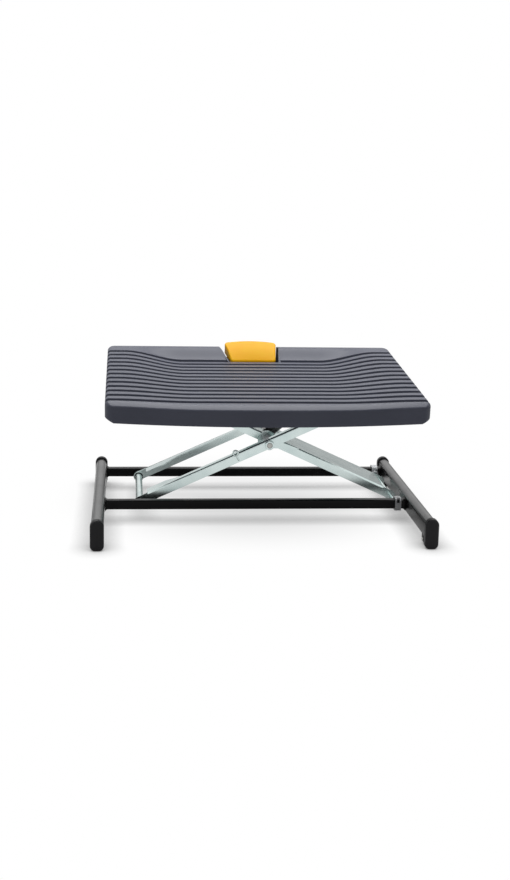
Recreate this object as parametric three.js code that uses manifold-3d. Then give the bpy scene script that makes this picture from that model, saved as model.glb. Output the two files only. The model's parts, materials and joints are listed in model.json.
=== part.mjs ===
// Footrest: a sloping grooved plate on a scissor lift, balanced by a gas spring that a pedal unlocks.
// Millimetres. X runs left to right, Y front to rear and Z up from the floor.
import * as THREE from "three";
import { mergeVertices } from "three/addons/utils/BufferGeometryUtils.js";
import Module from "manifold-3d";

const wasm = await Module();
wasm.setup();

// Clearances, and how far a cutting solid runs past what it cuts
const seat = 0.3;
const turning = 0.4;
const overrun = 4;

// Base: two flat-oval side tubes on end caps, joined by two square tubes
const sideSpan = 470;
const baseDepth = 396;
const sideWidth = 17;
const sideHeight = 31;
const sideWall = 1.5;
const sideBottom = 10.5;
const crossSize = 14;
const crossWall = 1.5;
const crossRound = 2.5;
const crossHeight = 25.5;
const crossFrontY = -39.5;
const crossGap = 203;
const weldLength = 4;
const weldRise = 3.2;

// End caps
const capWidth = 19.5;
const capHeight = 44;
const capRim = 12;
const capFace = 3;
const capCorner = 7;
const plugLength = 24;
const footReach = 38;
const footWidth = 15;
const footTop = 17;
const capScrewRadius = 1.5;
const capScrewHead = 3.2;
const capScrewHeadHeight = 1.4;
const capScrewLength = 7;
const capScrewHeight = 8.6;
const capScrewInset = 28;

// Scissor: both frames pivot at their middles
const halfArm = 213.75;
const restAngle = THREE.MathUtils.degToRad(24.4);
const pivotX = -174.5;
const pivotHeight = 23;
const pivotRodRadius = 5.6;
const pivotSpigot = 2.5;
const axleRadius = 6;
const axleEnd = 4;
const nutCorner = 7.2;
const nutThick = 6.4;

// Outer frame: two arms of angle section
const outerHalfSpan = 78.5;
const sheet = 2;
const armBelow = 6;
const armAbove = 8;
const armWeb = 12;
const armGusset = 26;
const gussetLength = 46;
const armEye = 8.2;
const armEar = 8.5;
const armTip = 7;
const tabRoot = 20;
const tabReach = 39;
const tabDrop = 19;
const webInset = 16;
const bushRadius = 6.7;
const bushFlange = 7.8;
const bushFlangeThick = 1.6;
const lugAt = 162;
const lugOuter = 5.2;
const lugWire = 1.3;
const lugRise = 1.5;
const lugStem = 13;

// Inner frame: one channel, open below
const innerHalfWidth = 47;
const innerBelow = 5;
const innerAbove = 8.2;
const innerEye = 8;
const innerEar = 14.5;
const windowHalfWidth = 18;
const windowBefore = 20;
const windowAfter = 24;
const lightHole = 3.3;
const lightHoleInset = 11;

// Lower slide: a rod with a shoe on each square tube
const slideRodRadius = 3;
const shoeWidth = 9;
const shoeWall = 2.6;
const shoeSocket = 5.5;
const shoeSocketDepth = 5;
const shoeSlot = 4.4;
const shoeSlotDepth = 5;

// Upper slide: two channels that open outward
const railSheet = 1.5;
const railFlange = 16.5;
const rollerRadius = 5;
const rollerPlay = 0.35;
const rollerLength = 12;
const rollerPinRadius = 2.5;
const rollerPinHead = 4.4;
const pinHeadHeight = 1.6;
const railLeft = 12;
const railRight = 8;
const upperRodRadius = 5;
const upperRodEnd = 3.5;

// Footplate: a ribbed shell, in its own sloping frame
const plateWidth = 451;
const plateDepth = 344;
const plateShift = 1.5;
const plateTilt = THREE.MathUtils.degToRad(4.455);
const plateFrontY = -191.5;
const plateRise = 1.85;
const frontBow = 11;
const plateCorner = 12;
const skirtDrop = 29;
const skirtBelly = 2.5;
const sideRise = 6;
const shellTop = 4.7;
const shellWall = 3.2;
const frontRoll = 5;
const frontRollLength = 14;
const grooveCount = 13;
const grooveStart = 18;
const groovePitch = 24;
const grooveTop = 8.5;
const grooveBottom = 6;
const grooveDepth = 3;
const hollowHalf = 126;
const rampEndFront = 168;
const rampEndRear = 187;
const hollowFront = 5.6;
const hollowRear = 15.5;
const bandStart = 306;
const notchLeftFront = -32.4;
const notchLeftRear = -49;
const notchRightFront = 44.5;
const notchRightRear = 46.5;
const notchWall = 3;
const notchWallDrop = 20;
const notchSkirtDrop = 17;

// Pedal, its lever and the release shaft
const pedalHalfRear = 41.7;
const pedalHalfFront = 35;
const pedalLeanRear = -1.1;
const pedalLeanFront = 2.4;
const pedalRear = 345;
const pedalFront = 307.5;
const pedalDropFront = 15;
const pedalRiseRear = 6.5;
const pedalCrown = 3;
const pedalBulge = 2.4;
const pedalSideFront = 5.5;
const pedalSideRear = 16;
const pedalWall = 2.5;
const pedalShift = 2.2;
const shaftRadius = 4;
const shaftY = 40;
const shaftDrop = 10.3;
const shaftReach = 24;
const hubRadius = 7;
const leverThick = 5;
const leverWidth = 12;
const leverDrop = 6.5;
const leverRoom = 4;
const leverShare = 0.8;
const ribThick = 4;
const ribHalfWidth = 8;
const ribPlaces = [-19, 72];
const fingerWidth = 8;
const fingerReach = 27;
const fingerPlay = 0.6;

// Gas spring, from the crossing axle up to a bracket between the rails
const springTopX = 110;
const springTopDrop = 9.5;
const springRadius = 11;
const springEyeRadius = 9;
const springEyeWidth = 13;
const springNeck = 6.2;
const springBody = 92;
const springRodRadius = 4;
const headBefore = 9;
const headAfter = 6.5;
const headHalf = 8.6;
const headWidth = 12;
const headPin = 2.5;
const openAcross = 3.4;
const openAlong = 1.2;
const releaseRadius = 2;
const releaseTip = 12;
const releaseFrom = 5;
const bracketSheet = 2;
const bracketLength = 22;
const bracketTab = 9;
const bracketEar = 6.5;

// Screws that hold the footplate on the rails
const screwRadius = 2;
const screwHead = 3.8;
const screwHeadHeight = 2.2;
const screwGrip = 3;
const bossRadius = 6;
const screwPlaces = [-150, 128];

// Places that follow from the sizes
const centreY = crossFrontY + crossGap / 2;
const innerFace = (crossGap - crossSize) / 2;
const armRun = 2 * halfArm * Math.cos(restAngle);
const armRise = 2 * halfArm * Math.sin(restAngle);
const upperHeight = pivotHeight + armRise;
const slideX = pivotX + armRun;
const crossingX = pivotX + armRun / 2;
const crossingHeight = pivotHeight + armRise / 2;
const sleeveRadius = axleRadius + turning + sheet;
const eyeSleeveRadius = axleRadius + turning + sheet / 2;
const railWebOut = innerHalfWidth + seat + railSheet + seat;
const railOut = railWebOut + railFlange - railSheet;
const railHalfHeight = rollerRadius + rollerPlay + railSheet;
const railTop = upperHeight + railHalfHeight;
const plateFrontZ = railTop + plateRise;
const shaftHeight = plateFrontZ - shaftDrop;
const noseDrop = hollowFront + frontRoll;
const bowFrontY = plateFrontY - frontBow * Math.cos(plateTilt) + noseDrop * Math.sin(plateTilt);
const boxShift = -(bowFrontY + baseDepth / 2) / 2;
const springTopZ = upperHeight - springTopDrop;
const springRest = Math.hypot(springTopX - crossingX, springTopZ - crossingHeight);
const springAngle = Math.atan2(springTopZ - crossingHeight, springTopX - crossingX);

const paint = (color, roughness, metalness) =>
  new THREE.MeshStandardMaterial({ color, roughness, metalness });
const blackPaint = () => paint(0x0b0b0c, 0.25, 0.3);
const blackPlastic = () => paint(0x1c1b20, 0.5, 0);
const greyPlastic = () => paint(0x55565c, 0.5, 0);
const whitePlastic = () => paint(0xd8d8d4, 0.4, 0);
const zinc = () => paint(0xbfcbc9, 0.35, 0.9);
const steel = () => paint(0x9a9fa0, 0.3, 0.9);
const platePlastic = () => paint(0x6b6c75, 0.55, 0);
const amber = () => paint(0xf9b21a, 0.3, 0);

// A three.js geometry as a manifold solid, with shared vertices merged
function solid(geometry) {
  const bare = geometry.index ? geometry.toNonIndexed() : geometry.clone();
  bare.deleteAttribute("normal");
  bare.deleteAttribute("uv");
  const merged = mergeVertices(bare, 1e-4);
  return new wasm.Manifold(
    new wasm.Mesh({
      numProp: 3,
      vertProperties: merged.attributes.position.array,
      triVerts: new Uint32Array(merged.index.array),
    }),
  );
}

function geometryOf(made) {
  const mesh = made.getMesh();
  const geometry = new THREE.BufferGeometry();
  geometry.setAttribute("position", new THREE.BufferAttribute(mesh.vertProperties, mesh.numProp));
  geometry.setIndex(new THREE.BufferAttribute(mesh.triVerts, 1));
  const flat = geometry.toNonIndexed();
  flat.computeVertexNormals();
  return flat;
}

const joined = (...shapes) => shapes.map(solid).reduce((a, b) => a.add(b));
const without = (body, ...shapes) => shapes.map(solid).reduce((a, b) => a.subtract(b), body);

// The shape's outline, extruded over a span of Y: its x stays X and its y becomes Z
function alongY(shape, from, to, curveSegments = 5) {
  const made = new THREE.ExtrudeGeometry(shape, { depth: to - from, bevelEnabled: false, curveSegments });
  return made.rotateX(Math.PI / 2).translate(0, to, 0);
}

// The shape's outline, extruded over a span of X: its x becomes Y and its y becomes Z
function alongX(shape, from, to, curveSegments = 5) {
  const made = new THREE.ExtrudeGeometry(shape, { depth: to - from, bevelEnabled: false, curveSegments });
  const turn = new THREE.Matrix4().makeBasis(
    new THREE.Vector3(0, 1, 0),
    new THREE.Vector3(0, 0, 1),
    new THREE.Vector3(1, 0, 0),
  );
  return made.applyMatrix4(turn).translate(from, 0, 0);
}

function alongZ(shape, from, to, curveSegments = 5) {
  const made = new THREE.ExtrudeGeometry(shape, { depth: to - from, bevelEnabled: false, curveSegments });
  return made.translate(0, 0, from);
}

function box(x0, x1, y0, y1, z0, z1) {
  const made = new THREE.BoxGeometry(x1 - x0, y1 - y0, z1 - z0);
  return made.translate((x0 + x1) / 2, (y0 + y1) / 2, (z0 + z1) / 2);
}

// A straight round bar, or the cutter for its hole
function barY(radius, x, z, from, to, sides = 20) {
  return new THREE.CylinderGeometry(radius, radius, to - from, sides).translate(x, (from + to) / 2, z);
}

function barX(radius, y, z, from, to, sides = 20) {
  const made = new THREE.CylinderGeometry(radius, radius, to - from, sides).rotateZ(Math.PI / 2);
  return made.translate((from + to) / 2, y, z);
}

function barZ(radius, x, y, from, to, sides = 20) {
  const made = new THREE.CylinderGeometry(radius, radius, to - from, sides).rotateX(Math.PI / 2);
  return made.translate(x, y, (from + to) / 2);
}

// A turned piece from [radius, place] steps, its axis on Y
function turnedY(steps, sides = 16) {
  return new THREE.LatheGeometry(steps.map(([r, y]) => new THREE.Vector2(r, y)), sides);
}

function polygon(points) {
  return new THREE.Shape(points.map(([x, y]) => new THREE.Vector2(x, y)));
}

// An upright oval with straight sides, standing on zero
function oval(width, height) {
  const r = width / 2;
  const shape = new THREE.Shape();
  shape.absarc(0, r, r, Math.PI, 2 * Math.PI);
  shape.absarc(0, height - r, r, 0, Math.PI);
  return shape;
}

function roundedRectangle(width, height, r) {
  const [x, y] = [width / 2, height / 2];
  const shape = new THREE.Shape();
  shape.absarc(x - r, y - r, r, 0, Math.PI / 2);
  shape.absarc(-x + r, y - r, r, Math.PI / 2, Math.PI);
  shape.absarc(-x + r, -y + r, r, Math.PI, 1.5 * Math.PI);
  shape.absarc(x - r, -y + r, r, 1.5 * Math.PI, 2 * Math.PI);
  return shape;
}

// A closed skin through equal rings of points, with flat ends
function loft(rings) {
  const n = rings[0].length;
  const position = rings.flat().flatMap((p) => [p.x, p.y, p.z]);
  const index = [];
  for (let i = 0; i + 1 < rings.length; i++)
    for (let j = 0; j < n; j++) {
      const [a, b] = [i * n + j, i * n + ((j + 1) % n)];
      index.push(a, b, b + n, a, b + n, a + n);
    }
  const last = (rings.length - 1) * n;
  for (let j = 1; j + 1 < n; j++) index.push(0, j + 1, j, last, last + j, last + j + 1);
  const made = new THREE.BufferGeometry();
  made.setAttribute("position", new THREE.Float32BufferAttribute(position, 3));
  return made.setIndex(index);
}

// The block between two sheets of points that share their grid
function gridBlock(us, vs, top, bottom) {
  const [nu, nv] = [us.length, vs.length];
  const position = [top, bottom].flatMap((w) => vs.flatMap((v) => us.flatMap((u) => [u, v, w(u, v)])));
  const index = [];
  const at = (layer, i, j) => layer * nu * nv + j * nu + i;
  for (let j = 0; j + 1 < nv; j++)
    for (let i = 0; i + 1 < nu; i++) {
      const [a, b, c, d] = [at(0, i, j), at(0, i + 1, j), at(0, i + 1, j + 1), at(0, i, j + 1)];
      index.push(a, b, c, a, c, d);
      const [e, f, g, h] = [at(1, i, j), at(1, i + 1, j), at(1, i + 1, j + 1), at(1, i, j + 1)];
      index.push(e, g, f, e, h, g);
    }
  const wall = (p, q, r, s) => index.push(p, q, r, p, r, s);
  for (let i = 0; i + 1 < nu; i++) {
    wall(at(1, i, 0), at(1, i + 1, 0), at(0, i + 1, 0), at(0, i, 0));
    wall(at(1, i + 1, nv - 1), at(1, i, nv - 1), at(0, i, nv - 1), at(0, i + 1, nv - 1));
  }
  for (let j = 0; j + 1 < nv; j++) {
    wall(at(1, 0, j + 1), at(1, 0, j), at(0, 0, j), at(0, 0, j + 1));
    wall(at(1, nu - 1, j), at(1, nu - 1, j + 1), at(0, nu - 1, j + 1), at(0, nu - 1, j));
  }
  const made = new THREE.BufferGeometry();
  made.setAttribute("position", new THREE.Float32BufferAttribute(position, 3));
  return made.setIndex(index);
}

const root = new THREE.Group();
root.position.y = boxShift;

// Group frames: a frame's X runs along its arm, and the plate's own frame slopes with it
function frameAt(parent, x, y, z, turn) {
  const group = new THREE.Group();
  group.position.set(x, y, z);
  group.rotation.y = turn;
  parent.add(group);
  return group;
}

function add(parent, name, shape, material) {
  const geometry = shape.isBufferGeometry ? shape : geometryOf(shape);
  const mesh = new THREE.Mesh(geometry, material);
  mesh.name = name;
  parent.add(mesh);
  return mesh;
}

// Side tube: flat oval, open at both ends where the caps plug it
function sideTube() {
  const half = baseDepth / 2 - capFace - seat;
  const bore = oval(sideWidth - 2 * sideWall, sideHeight - 2 * sideWall);
  const outer = joined(alongY(oval(sideWidth, sideHeight), -half, half));
  const inner = alongY(bore, -half - overrun, half + overrun).translate(0, 0, sideWall);
  return without(outer, inner);
}

// Square tube with welds that flare at the side tubes, and holes for the pivot rod's spigot
function crossTube(facing) {
  const half = (sideSpan - sideWidth) / 2 - seat;
  const outer = roundedRectangle(crossSize, crossSize, crossRound);
  const boreSize = crossSize - 2 * crossWall;
  const bore = roundedRectangle(boreSize, boreSize, crossRound - crossWall);
  const ringAt = (x, grow) => {
    const ring = roundedRectangle(crossSize + grow, crossSize + grow, crossRound + grow / 2);
    return ring.getPoints(3).slice(0, -1).map((p) => new THREE.Vector3(x, p.x, p.y));
  };
  const weld = (side) => {
    const [foot, toe] = [ringAt(side * half, 2 * weldRise), ringAt(side * (half - weldLength), 0)];
    return loft(side > 0 ? [toe, foot] : [foot, toe]);
  };
  const body = joined(alongX(outer, -half, half, 3), weld(-1), weld(1));
  const wallY = (facing * crossSize) / 2;
  const hole = barY(pivotSpigot + seat, pivotX, pivotHeight - crossHeight, wallY - overrun, wallY + overrun);
  return without(body, alongX(bore, -half - overrun, half + overrun, 3), hole);
}

// End cap: rim round the tube, plug inside it and a foot that runs back under it
function endCap(inward) {
  const rimRound = capWidth / 2;
  const rim = new THREE.Shape();
  rim.absarc(-rimRound + capCorner, capCorner, capCorner, Math.PI, 1.5 * Math.PI);
  rim.absarc(rimRound - capCorner, capCorner, capCorner, 1.5 * Math.PI, 2 * Math.PI);
  rim.absarc(0, capHeight - rimRound, rimRound, 0, Math.PI);
  const foot = new THREE.Shape();
  const footHalf = footWidth / 2;
  foot.absarc(-footHalf + capCorner, capCorner, capCorner, Math.PI, 1.5 * Math.PI);
  foot.absarc(footHalf - capCorner, capCorner, capCorner, 1.5 * Math.PI, 2 * Math.PI);
  foot.lineTo(footHalf, footTop);
  foot.lineTo(-footHalf, footTop);
  const pocketWidth = sideWidth + 2 * seat;
  const pocketHeight = sideHeight + 2 * seat;
  const pocket = alongY(oval(pocketWidth, pocketHeight), capFace, footReach + overrun);
  pocket.translate(0, 0, sideBottom - seat);
  const plugWidth = sideWidth - 2 * (sideWall + seat);
  const plugHeight = sideHeight - 2 * (sideWall + seat);
  const plug = alongY(oval(plugWidth, plugHeight), capFace - seat, plugLength);
  plug.translate(0, 0, sideBottom + sideWall + seat);
  const shell = without(joined(alongY(rim, 0, capRim), alongY(foot, 0, footReach)), pocket);
  const depth = capScrewLength + seat;
  const [from, to] = [inward * (footHalf + overrun), inward * (footHalf - depth)];
  const span = [Math.min(from, to), Math.max(from, to)];
  const hole = barX(capScrewRadius + seat, capScrewInset, capScrewHeight, ...span);
  return without(shell.add(solid(plug)), hole);
}

// Pan-head screw along X, its head on the inner side of the foot
function capScrew() {
  const dome = capScrewHeadHeight + seat;
  const steps = [
    [0, -capScrewLength + seat],
    [capScrewRadius, -capScrewLength + seat],
    [capScrewRadius, seat],
    [capScrewHead, seat],
    [capScrewHead, (seat + dome) / 2],
    [capScrewHead / 2, dome],
    [0, dome],
  ];
  return turnedY(steps, 16).rotateZ(-Math.PI / 2);
}

function buildBase() {
  const tubes = [["left", -1], ["right", 1]];
  for (const [side, sign] of tubes) {
    const x = (sign * sideSpan) / 2;
    add(root, side + "_side_tube", sideTube(), blackPaint()).position.set(x, 0, sideBottom);
    for (const [end, back] of [["front", false], ["rear", true]]) {
      const y = (back ? 1 : -1) * (baseDepth / 2);
      const turn = back ? Math.PI : 0;
      const place = frameAt(root, x, y, 0, 0);
      place.rotation.z = turn;
      const inward = back ? sign : -sign;
      add(place, side + "_" + end + "_end_cap", endCap(inward), blackPlastic());
      const screw = add(place, side + "_" + end + "_cap_screw", capScrew(), steel());
      screw.position.set((inward * footWidth) / 2, capScrewInset, capScrewHeight);
      screw.rotation.z = inward > 0 ? 0 : Math.PI;
    }
  }
  add(root, "front_cross_tube", crossTube(1), blackPaint()).position.set(0, crossFrontY, crossHeight);
  const rear = add(root, "rear_cross_tube", crossTube(-1), blackPaint());
  rear.position.set(0, crossFrontY + crossGap, crossHeight);
  const shoulder = innerFace - seat;
  const spigot = innerFace + crossWall;
  const rod = turnedY([
    [0, -spigot],
    [pivotSpigot, -spigot],
    [pivotSpigot, -shoulder],
    [pivotRodRadius, -shoulder],
    [pivotRodRadius, shoulder],
    [pivotSpigot, shoulder],
    [pivotSpigot, spigot],
    [0, spigot],
  ]);
  add(root, "lower_pivot_rod", rod, zinc()).position.set(pivotX, centreY, pivotHeight);
}

// The side view of an arm: a bar with a round eye at its foot, an ear at the crossing and a round tip
function armOutline(below, above, footEye, ear, tip) {
  const full = 2 * halfArm;
  const bar = polygon([
    [0, -Math.min(below, footEye)],
    [full, -Math.min(below, tip)],
    [full, Math.min(above, tip)],
    [full - webInset, above],
    [webInset, above],
    [0, Math.min(above, footEye)],
  ]);
  return { bar, discs: [[0, footEye], [halfArm, ear], [full, tip]] };
}

// A flange cut to that side view, over a span of Y
function armFlange(outline, from, to) {
  const bar = solid(alongY(outline.bar, from, to));
  return outline.discs.reduce((made, [s, r]) => made.add(solid(barY(r, s, 0, from, to))), bar);
}

// Arm of the outer frame: an upright flange with a pointed tab past the crossing, and a web that turns
// inward, wider over the lower pivot
function outerArm(side) {
  const outline = armOutline(armBelow, armAbove, armEye, armEar, armTip);
  const [inner, outer] = [outerHalfSpan - sheet / 2, outerHalfSpan + sheet / 2];
  const span = (a, b) => (side > 0 ? [a, b] : [-b, -a]);
  const flange = armFlange(outline, ...span(inner, outer));
  const full = 2 * halfArm;
  const web = polygon([
    [webInset, side * outer],
    [full - webInset, side * outer],
    [full - webInset, side * (outer - armWeb)],
    [gussetLength + armGusset, side * (outer - armWeb)],
    [gussetLength, side * (outer - armGusset)],
    [webInset, side * (outer - armGusset)],
  ]);
  const tab = polygon([
    [halfArm, -armBelow],
    [halfArm + tabReach, -armBelow - tabDrop],
    [halfArm + tabRoot, -armBelow],
    [halfArm + tabRoot, 0],
    [halfArm, 0],
  ]);
  const flat = alongZ(web, armAbove - sheet, armAbove);
  const body = flange.add(joined(flat, alongY(tab, ...span(inner, outer))));
  const through = span(inner - overrun, outer + overrun);
  return without(
    body,
    barY(bushRadius + seat, 0, 0, ...through),
    barY(axleEnd + seat, halfArm, 0, ...through),
    barY(sleeveRadius + seat, halfArm, 0, ...span(inner - armWeb - overrun, inner)),
    barY(rollerPinRadius + seat, full, 0, ...through),
  );
}

// Black bush in the arm's lower eye, with its flange on the outside
function armBush() {
  const inner = -sheet / 2;
  const outer = sheet / 2 + seat;
  const bore = pivotRodRadius + turning;
  return turnedY([
    [bore, inner],
    [bushRadius, inner],
    [bushRadius, outer],
    [bushFlange, outer],
    [bushFlange, outer + bushFlangeThick],
    [bore, outer + bushFlangeThick],
    [bore, inner],
  ]);
}

// Small wire eye on the front arm's outer face: a ring at the arm's upper edge with a stem below it
function lug() {
  const ring = new THREE.Shape();
  ring.absarc(0, 0, lugOuter, 0, 2 * Math.PI);
  const hole = new THREE.Path();
  hole.absarc(0, 0, lugOuter - 2 * lugWire, 0, 2 * Math.PI);
  ring.holes.push(hole);
  const stem = box(-lugWire, lugWire, -lugWire, lugWire, -lugStem, lugWire - lugOuter);
  return solid(alongY(ring, -lugWire, lugWire, 8)).add(solid(stem));
}

// Crossing axle: full size between the outer arms, thinner where it passes them and takes its nuts
function crossingAxle() {
  const shoulder = outerHalfSpan - sheet / 2 - seat;
  const end = outerHalfSpan + sheet / 2 + nutThick + seat + turning;
  return turnedY([
    [0, -end],
    [axleEnd, -end],
    [axleEnd, -shoulder],
    [axleRadius, -shoulder],
    [axleRadius, shoulder],
    [axleEnd, shoulder],
    [axleEnd, end],
    [0, end],
  ]);
}

function nut() {
  const hex = new THREE.Shape();
  for (let i = 0; i < 6; i++) {
    const a = (i * Math.PI) / 3;
    const point = [nutCorner * Math.cos(a), nutCorner * Math.sin(a)];
    if (i) hex.lineTo(...point);
    else hex.moveTo(...point);
  }
  const hole = new THREE.Path();
  hole.absarc(0, 0, axleEnd + seat, 0, 2 * Math.PI);
  hex.holes.push(hole);
  return alongY(hex, 0, nutThick, 8);
}

function sleeve(from, to, wall) {
  const bore = axleRadius + turning;
  return turnedY([
    [bore, from],
    [bore + wall, from],
    [bore + wall, to],
    [bore, to],
    [bore, from],
  ]);
}

// Roller pin: riveted in the arm's tip, with a head inside the rail that keeps the roller on
function rollerPin() {
  const far = railWebOut + seat + pinHeadHeight;
  const arm = outerHalfSpan + sheet / 2 + seat;
  const shank = rollerPinRadius;
  return turnedY([
    [0, railWebOut + seat],
    [rollerPinHead, railWebOut + seat],
    [rollerPinHead, far],
    [shank, far],
    [shank, arm],
    [rollerPinHead, arm],
    [rollerPinHead, arm + pinHeadHeight],
    [0, arm + pinHeadHeight],
  ]);
}

function roller() {
  const from = railWebOut + seat + pinHeadHeight + seat;
  const bore = rollerPinRadius + turning;
  return turnedY([
    [bore, from],
    [rollerRadius, from],
    [rollerRadius, from + rollerLength],
    [bore, from + rollerLength],
    [bore, from],
  ]);
}

function buildOuterFrame(frame) {
  const full = 2 * halfArm;
  for (const [end, side] of [["front", -1], ["rear", 1]]) {
    add(frame, end + "_outer_arm", outerArm(side), zinc());
    const bush = add(frame, end + "_arm_bush", armBush(), blackPlastic());
    bush.position.y = side * outerHalfSpan;
    bush.rotation.z = side > 0 ? 0 : Math.PI;
    const nutFace = outerHalfSpan + sheet / 2 + seat;
    const held = add(frame, end + "_axle_nut", nut(), zinc());
    held.position.set(halfArm, side > 0 ? nutFace : -nutFace - nutThick, 0);
    const tube = sleeve(innerHalfWidth + seat, outerHalfSpan - sheet / 2 - seat, sheet);
    const spacer = add(frame, end + "_axle_spacer", tube, greyPlastic());
    const pin = add(frame, end + "_roller_pin", rollerPin(), steel());
    const wheel = add(frame, end + "_roller", roller(), whitePlastic());
    for (const [piece, s] of [[spacer, halfArm], [pin, full], [wheel, full]]) {
      piece.position.x = s;
      piece.rotation.z = side > 0 ? 0 : Math.PI;
    }
  }
  add(frame, "crossing_axle", crossingAxle(), steel()).position.x = halfArm;
  const eye = add(frame, "front_arm_lug", lug(), zinc());
  eye.position.set(lugAt, -outerHalfSpan - sheet / 2 - seat - lugWire, armAbove + lugRise);
}

// Inner frame: a channel with a window over the crossing for the gas spring
function innerFrame() {
  const outline = armOutline(innerBelow, innerAbove, innerEye, innerEar, innerEye);
  const full = 2 * halfArm;
  const left = armFlange(outline, -innerHalfWidth, -innerHalfWidth + sheet);
  const right = armFlange(outline, innerHalfWidth - sheet, innerHalfWidth);
  const [low, high] = [innerAbove - sheet, innerAbove];
  const web = box(webInset, full - webInset, -innerHalfWidth, innerHalfWidth, low, high);
  const body = left.add(right).add(solid(web));
  const [from, to] = [halfArm - windowBefore, halfArm + windowAfter];
  const half = windowHalfWidth;
  const opening = box(from, to, -half, half, low - overrun, high + overrun);
  const hole = full - lightHoleInset;
  const through = [-innerHalfWidth - overrun, innerHalfWidth + overrun];
  return without(
    body,
    opening,
    barY(upperRodRadius + turning, 0, 0, ...through),
    barY(axleRadius + turning, halfArm, 0, ...through),
    barY(eyeSleeveRadius + seat, halfArm, 0, -innerHalfWidth + sheet, innerHalfWidth - sheet),
    barY(slideRodRadius + turning, full, 0, ...through),
    barY(lightHole, hole, 0, innerHalfWidth - sheet - overrun, innerHalfWidth + overrun, 12),
  );
}

// Shoe that slides on a square tube: a ring round the tube, a socket for the rod and a slot on the far side
function slideShoe() {
  const bore = crossSize + 2 * turning;
  const size = bore + 2 * shoeWall;
  const half = shoeWidth / 2;
  const ring = alongX(roundedRectangle(size, size, crossRound + shoeWall), -half, half, 4);
  const rodDrop = pivotHeight - crossHeight;
  const socketEnd = size / 2 + shoeSocketDepth;
  const socket = barY(shoeSocket, 0, rodDrop, bore / 2 + seat, socketEnd);
  const bed = box(-half, half, -bore / 2, bore / 2, -bore / 2, bore / 2);
  const tunnel = alongX(roundedRectangle(bore, bore, crossRound), -half - overrun, half + overrun, 4);
  const rodHole = barY(slideRodRadius + seat, 0, rodDrop, bore / 2 + shoeWall / 2, socketEnd + overrun);
  const slot = box(
    -shoeSlot / 2,
    shoeSlot / 2,
    -size / 2 - overrun,
    -size / 2 + shoeSlotDepth,
    size / 2 - shoeWall - shoeSlotDepth,
    size / 2 + overrun,
  );
  return without(joined(ring, socket, bed), tunnel, rodHole, slot);
}

function buildSlide() {
  const tubeY = crossGap / 2;
  for (const [end, side] of [["front", -1], ["rear", 1]]) {
    const shoe = add(root, end + "_slide_shoe", slideShoe(), greyPlastic());
    shoe.position.set(slideX, centreY + side * tubeY, crossHeight);
    shoe.rotation.z = side > 0 ? Math.PI : 0;
  }
  const reach = tubeY - crossSize / 2 - turning - shoeWall / 2 - seat;
  const rod = barY(slideRodRadius, 0, 0, -reach, reach);
  add(root, "slide_rod", rod, zinc()).position.set(slideX, centreY, pivotHeight);
}

// Rail for a roller: a channel that opens outward, with holes for the upper rod and the plate's screws
function rail(side) {
  const [x0, x1] = [pivotX - railLeft, slideX + railRight];
  const h = railHalfHeight;
  const inner = railWebOut - railSheet;
  const span = (a, b) => (side > 0 ? [a, b] : [-b, -a]);
  const outer = box(x0, x1, ...span(inner, railOut), -h, h);
  const room = span(railWebOut, railOut + overrun);
  const hollow = box(x0 - overrun, x1 + overrun, ...room, -h + railSheet, h - railSheet);
  const rodHole = barY(upperRodEnd + seat, pivotX, 0, ...span(inner - overrun, railWebOut + overrun));
  const screwY = side * screwLine();
  const screwHoles = screwPlaces.map((x) =>
    barZ(screwRadius + seat, x, screwY, h - railSheet - overrun, h + overrun),
  );
  const body = without(joined(outer), hollow, rodHole, ...screwHoles);
  if (side < 0) return body;
  const middle = plateShift + pedalShift;
  const cutHalf = leverWidth / 2 + overrun;
  const across = span(inner - overrun, railOut + overrun);
  const cut = box(middle - cutHalf, middle + cutHalf, ...across, -leverRoom, h + overrun);
  return without(body, cut);
}

function screwLine() {
  return (railWebOut + railOut) / 2;
}

// Bracket between the rails: a strip with tabs at its ends and two ears for the gas spring's top pin
function springBracket() {
  const top = railHalfHeight - railSheet;
  const bottom = top - bracketSheet;
  const end = railWebOut - railSheet - seat;
  const [x0, x1] = [springTopX + bracketEar - bracketLength, springTopX + bracketEar];
  const strip = box(x0, x1, -end, end, bottom, top);
  const tab = (side) => {
    const [a, b] = side > 0 ? [end - bracketSheet, end] : [-end, -end + bracketSheet];
    return box(x0, x1, a, b, bottom - bracketTab, top);
  };
  const earY = headWidth / 2 + turning;
  const ear = (side) => {
    const [a, b] = side > 0 ? [earY, earY + bracketSheet] : [-earY - bracketSheet, -earY];
    const plate = box(springTopX - bracketEar, x1, a, b, -springTopDrop, top);
    return solid(plate).add(solid(barY(bracketEar, springTopX, -springTopDrop, a, b)));
  };
  const body = joined(strip, tab(-1), tab(1)).add(ear(-1)).add(ear(1));
  const reach = earY + bracketSheet + overrun;
  return without(body, barY(headPin + seat, springTopX, -springTopDrop, -reach, reach));
}

// Rod with a wider middle, its thin ends in two holes
function shoulderedRod(radius, thin, shoulder, end) {
  return turnedY([
    [0, -end],
    [thin, -end],
    [thin, -shoulder],
    [radius, -shoulder],
    [radius, shoulder],
    [thin, shoulder],
    [thin, end],
    [0, end],
  ]);
}

// The pin through the bracket's ears, with a head on each side
function springTopPin() {
  const out = headWidth / 2 + turning + bracketSheet + seat;
  const head = headPin + railSheet;
  return turnedY([
    [0, -out - railSheet],
    [head, -out - railSheet],
    [head, -out],
    [headPin, -out],
    [headPin, out],
    [head, out],
    [head, out + railSheet],
    [0, out + railSheet],
  ]);
}

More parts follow.
